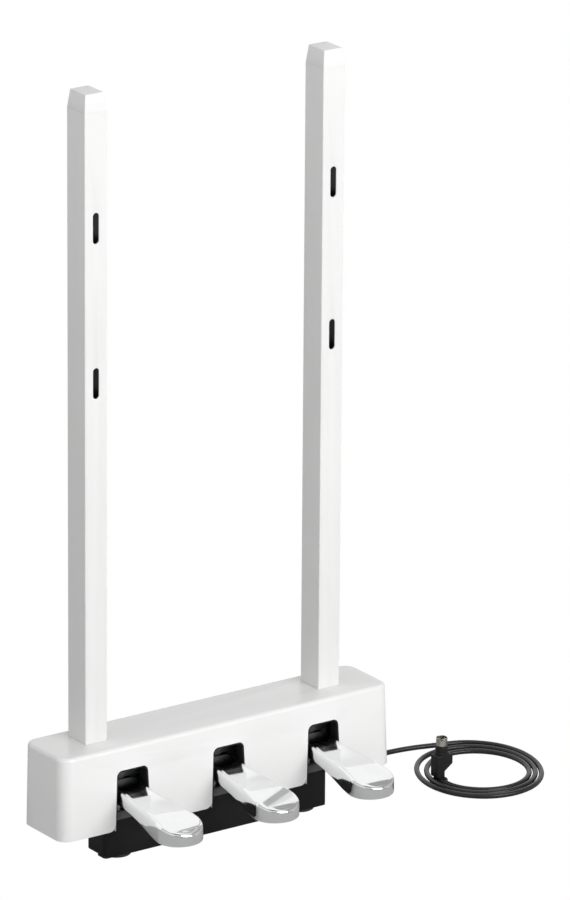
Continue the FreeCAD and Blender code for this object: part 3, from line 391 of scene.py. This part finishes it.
def cord_jacket(name, colour_value):
    """Smooth satin jacket with the faint lengthwise waviness of extruded plastic."""
    made, f = material(name)
    waves = f.noise(260.0, 2.0)
    scuff = f.ramp(f.noise(90.0, 5.0, 0.7), 0.55, 0.8)
    f.surface({"Base Color": f.mix(scuff, rgba(colour_value), rgba(colour_value, 1.5)),
               "Roughness": 0.33 + 0.12 * scuff, "Normal": f.bump(waves, 0.05 * MM, 0.5), "IOR": 1.5,
               "Specular IOR Level": 0.4})
    return made


def plated_steel(name, colour_value, gloss, tint=(0.75, 0.72, 0.62)):
    """Zinc or nickel plated steel with cloudy patches and rolling marks."""
    made, f = material(name)
    cloud = f.ramp(f.noise(75.0, 4.0, 0.6), 0.35, 0.7)
    marks = f.noise(900.0, 2.0, 0.5, (0.04, 1.0, 1.0))
    f.surface({"Base Color": f.mix(cloud * 0.5, rgba(colour_value), rgba(tint)), "Metallic": 1.0,
               "Roughness": gloss + 0.15 * cloud, "Normal": f.bump(marks, 0.01 * MM, 0.5)})
    return made


def board_laminate(name):
    """Circuit board: solder resist over faintly raised tracks."""
    made, f = material(name)
    tracks = f.ramp(f.cells(420.0, "DISTANCE_TO_EDGE"), 0.04, 0.08)
    f.surface({"Base Color": f.mix(tracks, (0.02, 0.20, 0.08, 1.0), (0.012, 0.11, 0.045, 1.0)),
               "Roughness": 0.3 + 0.1 * tracks, "Normal": f.bump(1 - tracks, 0.035 * MM, 0.8)})
    return made


def make_finishes():
    """All finishes by the record's slot names."""
    housing, posts, pedals, cord = (settings(n) for n in ("housing", "posts", "pedals", "cord"))
    black = (0.011, 0.011, 0.012)
    return {
        "white_plastic": white_moulding("white_plastic", housing.white, housing.gloss),
        "white_paint": powder_coat("white_paint", posts.white),
        "cap_plastic": white_moulding("cap_plastic", posts.cap_white, 0.35),
        "black_plastic": black_moulding("black_plastic", black, 0.42),
        "grey_felt": felt_cloth("grey_felt", (0.12, 0.12, 0.12)),
        "foot_rubber": soft_rubber("foot_rubber", (0.03, 0.03, 0.03), 0.6),
        "stop_rubber": soft_rubber("stop_rubber", (0.04, 0.04, 0.04), 0.7),
        "pedal_chrome": chrome_plate("pedal_chrome", pedals.chrome, pedals.gloss),
        "zinc_steel": plated_steel("zinc_steel", (0.10, 0.10, 0.105), 0.38, (0.16, 0.15, 0.14)),
        "spring_steel": plated_steel("spring_steel", (0.45, 0.45, 0.46), 0.22, (0.5, 0.5, 0.5)),
        "screw_steel": plated_steel("screw_steel", (0.22, 0.22, 0.23), 0.32, (0.28, 0.27, 0.25)),
        "nylon": white_moulding("nylon", (0.76, 0.73, 0.62), 0.4),
        "board_laminate": board_laminate("board_laminate"),
        "component_black": black_moulding("component_black", (0.018, 0.018, 0.018), 0.45, 0.2 * MM),
        "component_white": white_moulding("component_white", (0.72, 0.70, 0.62), 0.4),
        "cord_rubber": cord_jacket("cord_rubber", cord.black),
        "plug_moulding": black_moulding("plug_moulding", (0.013, 0.013, 0.014), 0.40, 0.3 * MM),
        "plug_nickel": plated_steel("plug_nickel", (0.62, 0.60, 0.56), 0.20, (0.45, 0.42, 0.36)),
    }


FINISHES = {}


def finish_of(slot):
    if not FINISHES:
        FINISHES.update(make_finishes())
    return FINISHES[slot]


def slot_of(node):
    return next(s["material_slot"] for s in frame["record"]["subparts"] if s["node"] == node)


# ---- mesh helpers -----------------------------------------------------------------------------
def linked(name, data):
    """New object in the scene."""
    made = bpy.data.objects.new(name, data)
    bpy.context.scene.collection.objects.link(made)
    return made


def mesh_from(bm, name):
    """Mesh of a finished bmesh, with its normals outward; the bmesh is freed."""
    bmesh.ops.recalc_face_normals(bm, faces=bm.faces)
    mesh = bpy.data.meshes.new(name)
    bm.to_mesh(mesh)
    bm.free()
    return mesh


def bridge(bm, lower, upper, closed=True):
    """Quads between two rows of as many vertices."""
    count = len(lower)
    for i in range(count if closed else count - 1):
        j = (i + 1) % count
        bm.faces.new((lower[i], lower[j], upper[j], upper[i]))


def new_piece(name, made, slot, body, nodes=()):
    """Links a finished mesh or bmesh, gives it its finish and ties it to its body."""
    mesh = mesh_from(made, name) if isinstance(made, bmesh.types.BMesh) else made
    mesh.name = name
    piece = linked(name, mesh)
    mesh.materials.clear()
    mesh.materials.append(finish_of(slot))
    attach(piece, body)
    if nodes:
        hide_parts(*nodes)
    return piece


def applied(piece):
    """The evaluated mesh of an object with its modifiers, as a new mesh."""
    bpy.context.view_layer.update()
    evaluated = piece.evaluated_get(bpy.context.evaluated_depsgraph_get())
    mesh = bpy.data.meshes.new_from_object(evaluated)
    bpy.data.objects.remove(piece)
    return mesh


def smooth(mesh, angle=SHARP):
    mesh.shade_smooth()
    mesh.set_sharp_from_angle(angle=angle)


def softened(node, width):
    """Copy of a node's mesh with its loose triangles merged and its sharp edges rounded."""
    bm = bmesh.new()
    bm.from_mesh(frame["nodes"][node].data)
    bmesh.ops.remove_doubles(bm, verts=bm.verts, dist=WELD)
    bmesh.ops.dissolve_limit(bm, angle_limit=FLAT, verts=bm.verts, edges=bm.edges)
    mesh = bpy.data.meshes.new(node + "_soft")
    bm.to_mesh(mesh)
    bm.free()
    draft = linked(node + "_soft", mesh)
    bevel = draft.modifiers.new("edges", "BEVEL")
    bevel.width = width
    bevel.segments = ROUNDING_STEPS
    bevel.limit_method = "ANGLE"
    bevel.angle_limit = SHARP
    bevel.use_clamp_overlap = True
    made = applied(draft)
    smooth(made)
    return made


def spline_heights(points, places):
    """Natural cubic through (place, height) points, read at the given places."""
    x = np.array([p[0] for p in points])[::-1]
    y = np.array([p[1] for p in points])[::-1]
    n = len(x)
    h = np.diff(x)
    matrix, right = np.eye(n), np.zeros(n)
    for i in range(1, n - 1):
        matrix[i, i - 1:i + 2] = h[i - 1], 2 * (h[i - 1] + h[i]), h[i]
        right[i] = 3 * ((y[i + 1] - y[i]) / h[i] - (y[i] - y[i - 1]) / h[i - 1])
    c = np.linalg.solve(matrix, right)
    b = np.diff(y) / h - h * (2 * c[:-1] + c[1:]) / 3
    d = np.diff(c) / (3 * h)
    i = np.clip(np.searchsorted(x, places) - 1, 0, n - 2)
    t = places - x[i]
    return y[i] + t * (b[i] + t * (c[i] + t * d[i]))


# ---- pedals -----------------------------------------------------------------------------------
class PedalShape:
    """Outline and heights of one pedal, about its own middle plane."""

    FRONT_INSET = 0.82 * MM  # the housing's front above its foot, behind the foot's front
    SIDE_STEPS, ARC_STEPS, EDGE_STEPS, RIM_STEPS = 44, 48, 11, 4
    CROWN_RUN = 30 * MM  # length over which the crown grows
    CEILING_DROP = 0.6 * MM  # extra wall under the pad
    PAD_INSETS = (0.5 * MM, 1.2 * MM)  # rings on the pad inside the rounded edge

    def __init__(self, node):
        s = settings("pedals")
        low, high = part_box(node)
        self.x = (low.x + high.x) / 2
        self.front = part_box("housing_shell")[0].y + self.FRONT_INSET
        self.rear = high.y
        self.s = s
        self.tip_y = low.y + s.tip_radius
        self.flare = math.atan2(s.tip_radius - s.neck_width / 2, self.front - self.tip_y)
        self.touch_y = self.tip_y + s.tip_radius * math.sin(self.flare)

    def outline(self, inset):
        """Points of the outline moved in by the inset: left side forward, tip, right side back."""
        s = self.s
        radius = max(s.tip_radius - inset, 0.0)
        slope = math.tan(self.flare)
        stretch = 1 / math.cos(self.flare)
        steps = np.linspace(0, 1, self.SIDE_STEPS)
        y = self.rear + (self.touch_y - self.rear) * steps
        t = self.front - y
        curve = np.where(t > s.waist, slope * t,
                         np.where(t < -s.waist, 0.0, slope * (t + s.waist) ** 2 / (4 * s.waist)))
        lean = np.clip((t + s.waist) / (2 * s.waist), 0, 1)
        half = np.maximum(s.neck_width / 2 + curve - inset * (1 + (stretch - 1) * lean), 0.0)
        shift = (radius - s.tip_radius) * math.sin(self.flare) * steps
        left = np.stack([-half, y + shift], -1)
        angles = np.linspace(math.pi - self.flare, 2 * math.pi + self.flare, self.ARC_STEPS)[1:-1]
        arc = np.stack([radius * np.cos(angles), self.tip_y + radius * np.sin(angles)], -1)
        right = left[::-1] * (-1, 1)
        return np.concatenate([left, arc, right])

    def top(self, plan):
        s = self.s
        heights = spline_heights(PEDAL_TOP, plan[:, 1] - self.front)
        out = np.clip((self.front - plan[:, 1]) / self.CROWN_RUN, 0, 1)
        return heights + s.crown * out * out * (3 - 2 * out) * (1 - (plan[:, 0] / s.tip_radius) ** 2)

    def low(self, plan):
        return spline_heights(PEDAL_LOW, plan[:, 1] - self.front)

    def ceiling(self, plan):
        return self.top(plan) - self.s.wall - self.CEILING_DROP

    def rings(self):
        """Rings of the shell from the foot of its inner wall out, round the rim and up over the edge."""
        s = self.s
        inner = self.outline(s.wall)
        rings = [(inner, self.ceiling(inner)), (inner, self.low(inner))]
        for a in np.linspace(0, math.pi / 2, self.RIM_STEPS):
            plan = self.outline(s.rim * (1 - math.sin(a)))
            rings.append((plan, self.low(plan) + s.rim * (1 - math.cos(a))))
        outer = self.outline(0.0)
        shoulder = self.top(self.outline(s.edge)) - s.edge
        floor = self.low(outer) + s.rim
        for k in (0.33, 0.66):
            rings.append((outer, floor + (shoulder - floor) * k))
        for a in np.linspace(0, math.pi / 2, self.EDGE_STEPS):
            plan = self.outline(s.edge * (1 - math.cos(a)))
            blend = (self.top(plan) - shoulder - s.edge) * (1 - math.cos(a)) ** 2
            rings.append((plan, shoulder + s.edge * math.sin(a) + blend))
        for inset in self.PAD_INSETS:
            plan = self.outline(s.edge + inset)
            rings.append((plan, self.top(plan)))
        return rings


def cross_rows(bm, ring, heights, columns=14):
    """Closes the space inside an open ring with rows that run straight across it."""
    half = len(ring) // 2
    shares = np.linspace(0, 1, columns + 1)[1:-1, None]
    rows = []
    for left, right in zip(ring[:half - 1], reversed(ring[half + 1:])):
        a, b = np.array(left.co), np.array(right.co)
        plan = a[:2] + (b[:2] - a[:2]) * shares
        between = [bm.verts.new((x, y, z)) for (x, y), z in zip(plan, heights(plan))]
        rows.append([left, *between, right])
    for lower, upper in zip(rows, rows[1:]):
        bridge(bm, lower, upper, closed=False)
    bm.faces.new([*rows[-1], ring[half], ring[half - 1]])


def pedal_mesh(node):
    shape = PedalShape(node)
    bm = bmesh.new()
    rows = [[bm.verts.new((x, y, z)) for (x, y), z in zip(plan, heights)]
            for plan, heights in shape.rings()]
    for lower, upper in zip(rows, rows[1:]):
        bridge(bm, lower, upper, closed=False)
    cross_rows(bm, rows[0], shape.ceiling)
    cross_rows(bm, rows[-1], shape.top)
    bmesh.ops.remove_doubles(bm, verts=bm.verts, dist=0.001 * MM)
    bmesh.ops.holes_fill(bm, edges=[e for e in bm.edges if e.is_boundary], sides=0)
    bmesh.ops.translate(bm, vec=(shape.x, 0, 0), verts=bm.verts)
    return bm


# ---- cord -------------------------------------------------------------------------------------
def coil_points():
    """Route points of the loose coil, turn by turn, clockwise seen from above."""
    s = settings("cord")
    total = round(s.turns * s.points)
    widen = 1 / math.cos(math.pi / s.points)
    points = []
    for i in range(total + 1):
        turn = i / s.points
        angle = s.start - 2 * math.pi * turn
        radius = s.first * (1 + s.oval * math.cos(2 * (angle - s.lean)))
        radius -= turn * (s.pitch - s.pitch_left * math.cos(angle) + s.pitch_back * math.sin(angle)
                          - s.pitch_side * math.cos(2 * angle)
                          + s.pitch_slant * math.sin(2 * angle))
        points.append((s.middle[0] + widen * radius * math.cos(angle),
                       s.middle[1] + widen * radius * math.sin(angle), s.radius))
    return points


def cord_curve(name, route, radius):
    data = bpy.data.curves.new(name, "CURVE")
    data.dimensions = "3D"
    data.resolution_u = 6
    data.bevel_depth = radius
    data.bevel_resolution = 5
    data.use_fill_caps = True
    spline = data.splines.new("NURBS")
    spline.points.add(len(route) - 1)
    for point, place in zip(spline.points, route):
        point.co = (*place, 1.0)
    spline.order_u = 3
    spline.use_endpoint_u = True
    return linked(name, data)


def line_length(points):
    return float(sum((Vector(b) - Vector(a)).length for a, b in zip(points, points[1:])))


def route_line(route):
    """Points of the smooth line through a route, read from its spline."""
    draft = cord_curve("route_line", route, 0.0)
    return [v.co.copy() for v in applied(draft).vertices]


# ---- stage ------------------------------------------------------------------------------------
class PEDALUNIT_OT_stage(bpy.types.Operator):
    """Floor, room light, key light and camera"""

    bl_idname = "pedal_unit.stage"
    bl_label = "Stage"

    def execute(self, context):
        s = settings("stage")
        scene = context.scene
        scene.view_settings.view_transform = "Standard"
        back = Vector((math.sin(s.azimuth) * math.cos(s.elevation),
                       -math.cos(s.azimuth) * math.cos(s.elevation), math.sin(s.elevation)))
        data = bpy.data.cameras.new("camera")
        data.sensor_width = SENSOR_WIDTH
        data.lens = s.lens
        data.clip_end = VIEW_END
        camera = linked("camera", data)
        right = Vector((math.cos(s.azimuth), math.sin(s.azimuth), 0.0))
        up = back.cross(right)
        sideways = math.cos(s.roll) * right + math.sin(s.roll) * up
        upright = math.cos(s.roll) * up - math.sin(s.roll) * right
        camera.matrix_world = Matrix.Translation(Vector(s.aim) + back * s.distance) @ Matrix(
            (sideways, upright, back)).transposed().to_4x4()
        scene.camera = camera
        self.floor(s)
        self.room(s, scene)
        self.key(s)
        self.cards(s)
        return {"FINISHED"}

    def plane(self, name, corner, across, along, glow, albedo=0.0):
        """Flat stage piece from a corner and two sides."""
        corner, across, along = Vector(corner), Vector(across), Vector(along)
        mesh = bpy.data.meshes.new(name)
        corners = [corner, corner + across, corner + across + along, corner + along]
        mesh.from_pydata(corners, [], [(0, 1, 2, 3)])
        piece = linked(name, mesh)
        made, f = material(name)
        f.surface({"Base Color": (albedo, albedo, albedo, 1.0), "Roughness": 0.9,
                   "Specular IOR Level": 0.0, "Emission Color": WHITE, "Emission Strength": glow})
        mesh.materials.append(made)
        return piece

    def floor(self, s):
        """White floor for the camera, and a grey one just under it that only throws light back."""
        size = s.floor_size
        sides = (size, 0, 0), (0, size, 0)
        seen = self.plane("floor", (-size / 2, -size / 2, 0.0), *sides, 1.0)
        seen.visible_diffuse = seen.visible_glossy = seen.visible_shadow = False
        under = self.plane("floor_bounce", (-size / 2, -size / 2, -s.floor_step), *sides, 0.0,
                           s.bounce)
        under.visible_camera = False

    def room(self, s, scene):
        """Even light all round that leans a little along each axis."""
        world = bpy.data.worlds.new("room")
        scene.world = world
        f = Finish(world)
        direction = f.wire("ShaderNodeTexCoord", output="Generated")
        strength = s.sky
        for part, lean in zip(f.split(direction), s.sky_lean):
            strength = part * lean + strength
        shader = f.wire("ShaderNodeBackground", values={"Color": WHITE, "Strength": strength})
        f.node("ShaderNodeOutputWorld", values={"Surface": shader})

    def key(self, s):
        data = bpy.data.lights.new("key_light", "AREA")
        data.shape = "RECTANGLE"
        data.size, data.size_y = s.key_width, s.key_height
        data.energy = s.key_power
        light = linked("key_light", data)
        light.location = s.key_place
        away = light.location - Vector(s.aim)
        light.rotation_euler = away.to_track_quat("Z", "Y").to_euler()
        light.visible_camera = False

    def cards(self, s):
        """Reflectors for the plating only: white ones behind, above and before each slot, two dark."""
        # name, corner, first side, second side, glow
        cards = [("back_card", (-4.0, 2.0, 0.02), (10.0, 0, 0), (0, 0, 5.0), s.card_glow),
                 ("ceiling_card", (-2.2, -2.5, 2.6), (4.4, 0, 0), (0, 1.3, 0), s.dark_glow),
                 ("top_card", (-3.0, -2.0, 5.0), (6.0, 0, 0), (0, 4.0, 0), s.card_glow),
                 ("front_card", (-4.5, -4.0, 0.02), (9.0, 0, 0), (0, 0, 0.95), s.dark_glow)]
        width, height, clear = 32 * MM, 16 * MM, 0.4 * MM
        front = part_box("housing_shell")[0].y - clear
        for name in PEDALS:
            low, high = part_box(name + "_pedal")
            left = (low.x + high.x - width) / 2
            cards.append((name + "_slot_card", (left, front, high.z + s.slot_gap), (width, 0, 0),
                          (0, 0, height), s.slot_glow))
        for values in cards:
            card = self.plane(*values)
            card.visible_camera = card.visible_diffuse = card.visible_shadow = False
            card.visible_transmission = False


# ---- pieces -----------------------------------------------------------------------------------
class PEDALUNIT_OT_housing(bpy.types.Operator):
    """White housing shell with rounded slot edges"""

    bl_idname = "pedal_unit.housing"
    bl_label = "Housing"

    def execute(self, context):
        s = settings("housing")
        new_piece("housing_cover", softened("housing_shell", s.edge), "white_plastic", CHASSIS,
                  ["housing_shell"])
        return {"FINISHED"}


class PEDALUNIT_OT_posts(bpy.types.Operator):
    """Two slotted posts and their caps"""

    bl_idname = "pedal_unit.posts"
    bl_label = "Posts and caps"

    def execute(self, context):
        s = settings("posts")
        for side in SIDES:
            new_piece(side + "_post_tube", softened(side + "_post", s.edge), "white_paint", CHASSIS,
                      [side + "_post"])
            new_piece(side + "_post_plug", softened(side + "_post_cap", s.edge), "cap_plastic", CHASSIS,
                      [side + "_post_cap"])
        return {"FINISHED"}


class PEDALUNIT_OT_pedals(bpy.types.Operator):
    """Three chromed pedals"""

    bl_idname = "pedal_unit.pedals"
    bl_label = "Pedals"

    def execute(self, context):
        for name in PEDALS:
            bm = pedal_mesh(name + "_pedal")
            piece = new_piece(name + "_pedal_plate", bm, "pedal_chrome", name + "_lever",
                              [name + "_pedal"])
            smooth(piece.data, math.radians(50))
        return {"FINISHED"}


def prism(bm, outline, y0, y1):
    """Block with the given side view, between two depths."""
    front = [bm.verts.new((x, y0, z)) for x, z in outline]
    back = [bm.verts.new((x, y1, z)) for x, z in outline]
    bm.faces.new(front)
    bm.faces.new(back)
    bridge(bm, front, back)


def turned(bm, profile, matrix, steps=48):
    """Solid of revolution about the matrix's Z from (radius, height) points between two on the axis."""
    rows = []
    angles = [2 * math.pi * i / steps for i in range(steps)]
    for radius, height in profile[1:-1]:
        rows.append([bm.verts.new(matrix @ Vector((radius * math.cos(a), radius * math.sin(a), height)))
                     for a in angles])
    ends = [bm.verts.new(matrix @ Vector((0, 0, profile[k][1]))) for k in (0, -1)]
    for lower, upper in zip(rows, rows[1:]):
        bridge(bm, lower, upper)
    for end, row in zip(ends, (rows[0], rows[-1])):
        for i in range(steps):
            bm.faces.new((end, row[i], row[(i + 1) % steps]))


def pin_tree(slot):
    """Nodes that set round pins on a circle; its sizes are inputs."""
    tree = bpy.data.node_groups.new("contact_pins", "GeometryNodeTree")
    for name, kind in (("Pins", "NodeSocketInt"), ("Circle", "NodeSocketFloat"),
                       ("Radius", "NodeSocketFloat"), ("Length", "NodeSocketFloat"),
                       ("Place", "NodeSocketVector")):
        tree.interface.new_socket(name=name, in_out="INPUT", socket_type=kind)
    tree.interface.new_socket(name="Geometry", in_out="OUTPUT", socket_type="NodeSocketGeometry")
    nodes = {key: tree.nodes.new(kind) for key, kind in (
        ("inputs", "NodeGroupInput"), ("circle", "GeometryNodeMeshCircle"),
        ("pin", "GeometryNodeMeshCylinder"),
        ("set", "GeometryNodeInstanceOnPoints"), ("move", "GeometryNodeTransform"),
        ("real", "GeometryNodeRealizeInstances"), ("finish", "GeometryNodeSetMaterial"),
        ("outputs", "NodeGroupOutput"))}
    nodes["pin"].inputs["Vertices"].default_value = 20
    nodes["finish"].inputs["Material"].default_value = finish_of(slot)
    for source, out, target, into in (
            ("inputs", "Pins", "circle", "Vertices"), ("inputs", "Circle", "circle", "Radius"),
            ("inputs", "Radius", "pin", "Radius"), ("inputs", "Length", "pin", "Depth"),
            ("circle", "Mesh", "set", "Points"), ("pin", "Mesh", "set", "Instance"),
            ("set", "Instances", "move", "Geometry"), ("inputs", "Place", "move", "Translation"),
            ("move", "Geometry", "real", "Geometry"), ("real", "Geometry", "finish", "Geometry"),
            ("finish", "Geometry", "outputs", "Geometry")):
        tree.links.new(nodes[source].outputs[out], nodes[target].inputs[into])
    return tree


class PEDALUNIT_OT_plug(bpy.types.Operator):
    """Moulded grip with its leg and cord sleeve, nickel shell, insert and contact pins"""

    bl_idname = "pedal_unit.plug"
    bl_label = "Plug"

    # foot of the collar: radius beyond the collar's, height above the grip, in millimetres
    COLLAR_STEPS = ((0.5, 0.0), (0.5, 1.6), (0.0, 2.0), (0.0, 4.6), (-0.25, 4.8))
    # sleeve round the lead's end: radius, distance from the leg, in millimetres
    SLEEVE = ((0, 0.0), (2.55, 0.0), (2.5, 2.6), (2.3, 3.0), (0, 3.0))
    SLEEVE_PLACE = (-1.4 * MM, -4.6 * MM, 2.6 * MM)  # from the foot of the plug's axis
    SLEEVE_SIDES, SHELL_SIDES = 32, 96
    NOTCHES, NOTCH_HALF = (150, 232, 308), 8  # degrees

    def execute(self, context):
        s = settings("plug")
        self.body(s)
        self.shell(s)
        self.insert(s)
        self.pins(s)
        return {"FINISHED"}

    def body(self, s):
        """Grip with its leg, collar and sleeve."""
        x, y, half = s.place[0], s.place[1], s.grip_half
        bm = bmesh.new()
        left, foot, leg = x - half, x - s.foot_left, x + s.leg_right
        prism(bm, [(foot, 0.0), (leg, 0.0), (leg, s.slope_low), (x + half, s.slope_top),
                   (x + half, s.grip_top), (left, s.grip_top), (left, s.foot_top),
                   (foot, s.foot_top)], y - s.front, y + s.back)
        block = linked("plug_grip", mesh_from(bm, "plug_grip"))
        bevel = block.modifiers.new("edges", "BEVEL")
        bevel.width = s.edge
        bevel.segments = 4
        rounded = applied(block)
        bm = bmesh.new()
        bm.from_mesh(rounded)
        low, top = s.grip_top - OVERLAP, s.collar_top
        collar = [(s.collar_radius + r * MM, low + z * MM) for r, z in self.COLLAR_STEPS]
        turned(bm, [(0, low), *collar, (s.collar_radius - 0.25 * MM, top - 0.3 * MM),
                    (s.collar_radius - 0.5 * MM, top), (0, top)], Matrix.Translation((x, y, 0)))
        place = Matrix.Translation(Vector((x, y, 0)) + Vector(self.SLEEVE_PLACE))
        turned(bm, [(r * MM, z * MM) for r, z in self.SLEEVE],
               place @ Matrix.Rotation(math.pi / 2, 4, "X"), self.SLEEVE_SIDES)
        piece = new_piece("plug_grip", bm, "plug_moulding", CHASSIS, ["plug_body"])
        bpy.data.meshes.remove(rounded)
        smooth(piece.data, math.radians(40))

    def shell(self, s):
        """Round shell with three key notches in its rim."""
        x, y = s.place[0], s.place[1]
        bm = bmesh.new()
        angles = [2 * math.pi * i / self.SHELL_SIDES for i in range(self.SHELL_SIDES)]
        notched = [any(abs(math.degrees(a) - k) < self.NOTCH_HALF for k in self.NOTCHES)
                   for a in angles]
        rims = [s.shell_top - (s.notch if n else 0) for n in notched]
        outer, inner = s.shell_radius, s.shell_radius - s.shell_wall
        foot = s.collar_top - 0.5 * MM
        rows = []
        # radius and distance below the rim in millimetres; None is the shell's foot
        for radius, drop in ((inner, None), (inner, 0.15), (inner + 0.12 * MM, 0.0),
                             (outer - 0.15 * MM, 0.0), (outer, 0.2), (outer, None)):
            rows.append([bm.verts.new((x + radius * math.cos(a), y + radius * math.sin(a),
                                       foot if drop is None else rim - drop * MM))
                         for a, rim in zip(angles, rims)])
        for lower, upper in zip(rows, rows[1:] + rows[:1]):
            bridge(bm, lower, upper)
        piece = new_piece("plug_sleeve", bm, "plug_nickel", CHASSIS, ["plug_shell"])
        smooth(piece.data, math.radians(30))

    def insert(self, s):
        low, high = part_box("plug_insert")
        radius, top = s.shell_radius - s.shell_wall - 0.02 * MM, high.z - s.pin_length
        bm = bmesh.new()
        turned(bm, [(0, low.z), (radius, low.z), (radius, top - 0.3 * MM), (radius - 0.3 * MM, top),
                    (0, top)], Matrix.Translation((s.place[0], s.place[1], 0)))
        piece = new_piece("plug_core", bm, "component_black", CHASSIS, ["plug_insert"])
        smooth(piece.data, math.radians(40))

    def pins(self, s):
        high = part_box("plug_insert")[1]
        draft = linked("contact_pins", bpy.data.meshes.new("contact_pins"))
        tree = pin_tree("plug_nickel")
        modifier = draft.modifiers.new("pins", "NODES")
        modifier.node_group = tree
        whole = s.pin_length + OVERLAP
        values = {"Pins": s.pins, "Circle": s.pin_circle, "Radius": s.pin_radius, "Length": whole,
                  "Place": (s.place[0], s.place[1], high.z - whole / 2)}
        for socket in tree.interface.items_tree:
            if socket.in_out == "INPUT":
                modifier[socket.identifier] = values[socket.name]
        piece = new_piece("plug_pins", applied(draft), "plug_nickel", CHASSIS)
        smooth(piece.data, math.radians(40))


class PEDALUNIT_OT_cord(bpy.types.Operator):
    """Lead from the grommet to the plug, with its loose coil"""

    bl_idname = "pedal_unit.cord"
    bl_label = "Cord"

    def execute(self, context):
        s = settings("cord")
        route = list(LEAD_ROUTE) + coil_points()
        piece = cord_curve("lead", route, s.radius)
        piece.data.materials.append(finish_of("cord_rubber"))
        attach(piece, CHASSIS)
        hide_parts("cord_lead", "cord_coil")
        real = line_length(route_line(route))
        return {"FINISHED"}


class PEDALUNIT_OT_finishes(bpy.types.Operator):
    """Finishes of the pieces that keep their own shape"""

    bl_idname = "pedal_unit.finishes"
    bl_label = "Finishes"

    def execute(self, context):
        for node, piece in frame["nodes"].items():
            piece.data.materials.clear()
            piece.data.materials.append(finish_of(slot_of(node)))
        return {"FINISHED"}


class PEDALUNIT_OT_base(bpy.types.Operator):
    """Base tray, slot liners, felts, feet and stops with softened edges, and the return springs"""

    bl_idname = "pedal_unit.base"
    bl_label = "Base and linings"

    def execute(self, context):
        # rounding of each node's edges in millimetres
        edges = {"base_tray": 0.4, "front_feet": 0.3, "rear_feet": 0.3, "upper_stops": 0.3,
                 "cord_gland": 0.25}
        for name in PEDALS:
            edges[name + "_slot_liner"] = 0.2
            edges[name + "_stop_felt"] = 0.3
        for node, width in edges.items():
            new_piece(node + "_soft", softened(node, width * MM), slot_of(node), CHASSIS, [node])
        for name in PEDALS:
            self.spring(name)
        return {"FINISHED"}

    def spring(self, name):
        """Return spring, copied from its node's mesh as it stands."""
        node = name + "_return_spring"
        low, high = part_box(node)
        joint = next(j for j in frame["joints"] if j["name"] == name + "_pedal_press")
        reach = abs(joint["pos_m"][1] - (low.y + high.y) / 2) + (high.y - low.y) / 2
        travel = reach * math.tan(math.radians(joint["range_deg"][1]))
        piece = new_piece(node + "_coil", frame["nodes"][node].data.copy(), slot_of(node), CHASSIS,
                          [node])
        1 - travel / (high.z - low.z)
        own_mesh(piece)


class PEDALUNIT_PT_panel(bpy.types.Panel):
    """Lists the pieces in the sidebar"""

    bl_idname = "PEDALUNIT_PT_panel"
    bl_label = "Pedal Unit"
    bl_space_type = "VIEW_3D"
    bl_region_type = "UI"
    bl_category = "Pedal Unit"

    def draw(self, context):
        for operator in OPERATORS:
            self.layout.operator(operator.bl_idname)
        for group in GROUPS:
            box = self.layout.box()
            for key in GROUPS[group].__annotations__:
                box.prop(settings(group), key)


GROUPS = {"stage": StageSettings, "housing": HousingSettings, "posts": PostSettings,
          "pedals": PedalSettings, "cord": CordSettings, "plug": PlugSettings}
OPERATORS = (PEDALUNIT_OT_stage, PEDALUNIT_OT_finishes, PEDALUNIT_OT_plug, PEDALUNIT_OT_cord,
             PEDALUNIT_OT_housing, PEDALUNIT_OT_posts, PEDALUNIT_OT_pedals, PEDALUNIT_OT_base)


def register():
    for cls in (*GROUPS.values(), *OPERATORS, PEDALUNIT_PT_panel):
        bpy.utils.register_class(cls)
    for name, cls in GROUPS.items():
        setattr(bpy.types.Scene, "pedal_unit_" + name, bpy.props.PointerProperty(type=cls))


def unregister():
    for name in GROUPS:
        delattr(bpy.types.Scene, "pedal_unit_" + name)
    for cls in (PEDALUNIT_PT_panel, *reversed(OPERATORS), *reversed(list(GROUPS.values()))):
        bpy.utils.unregister_class(cls)


def main():
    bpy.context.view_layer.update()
    register()
    for operator in OPERATORS:
        area, name = operator.bl_idname.split(".")
        getattr(getattr(bpy.ops, area), name)()


if __name__ == "__main__":
    main()
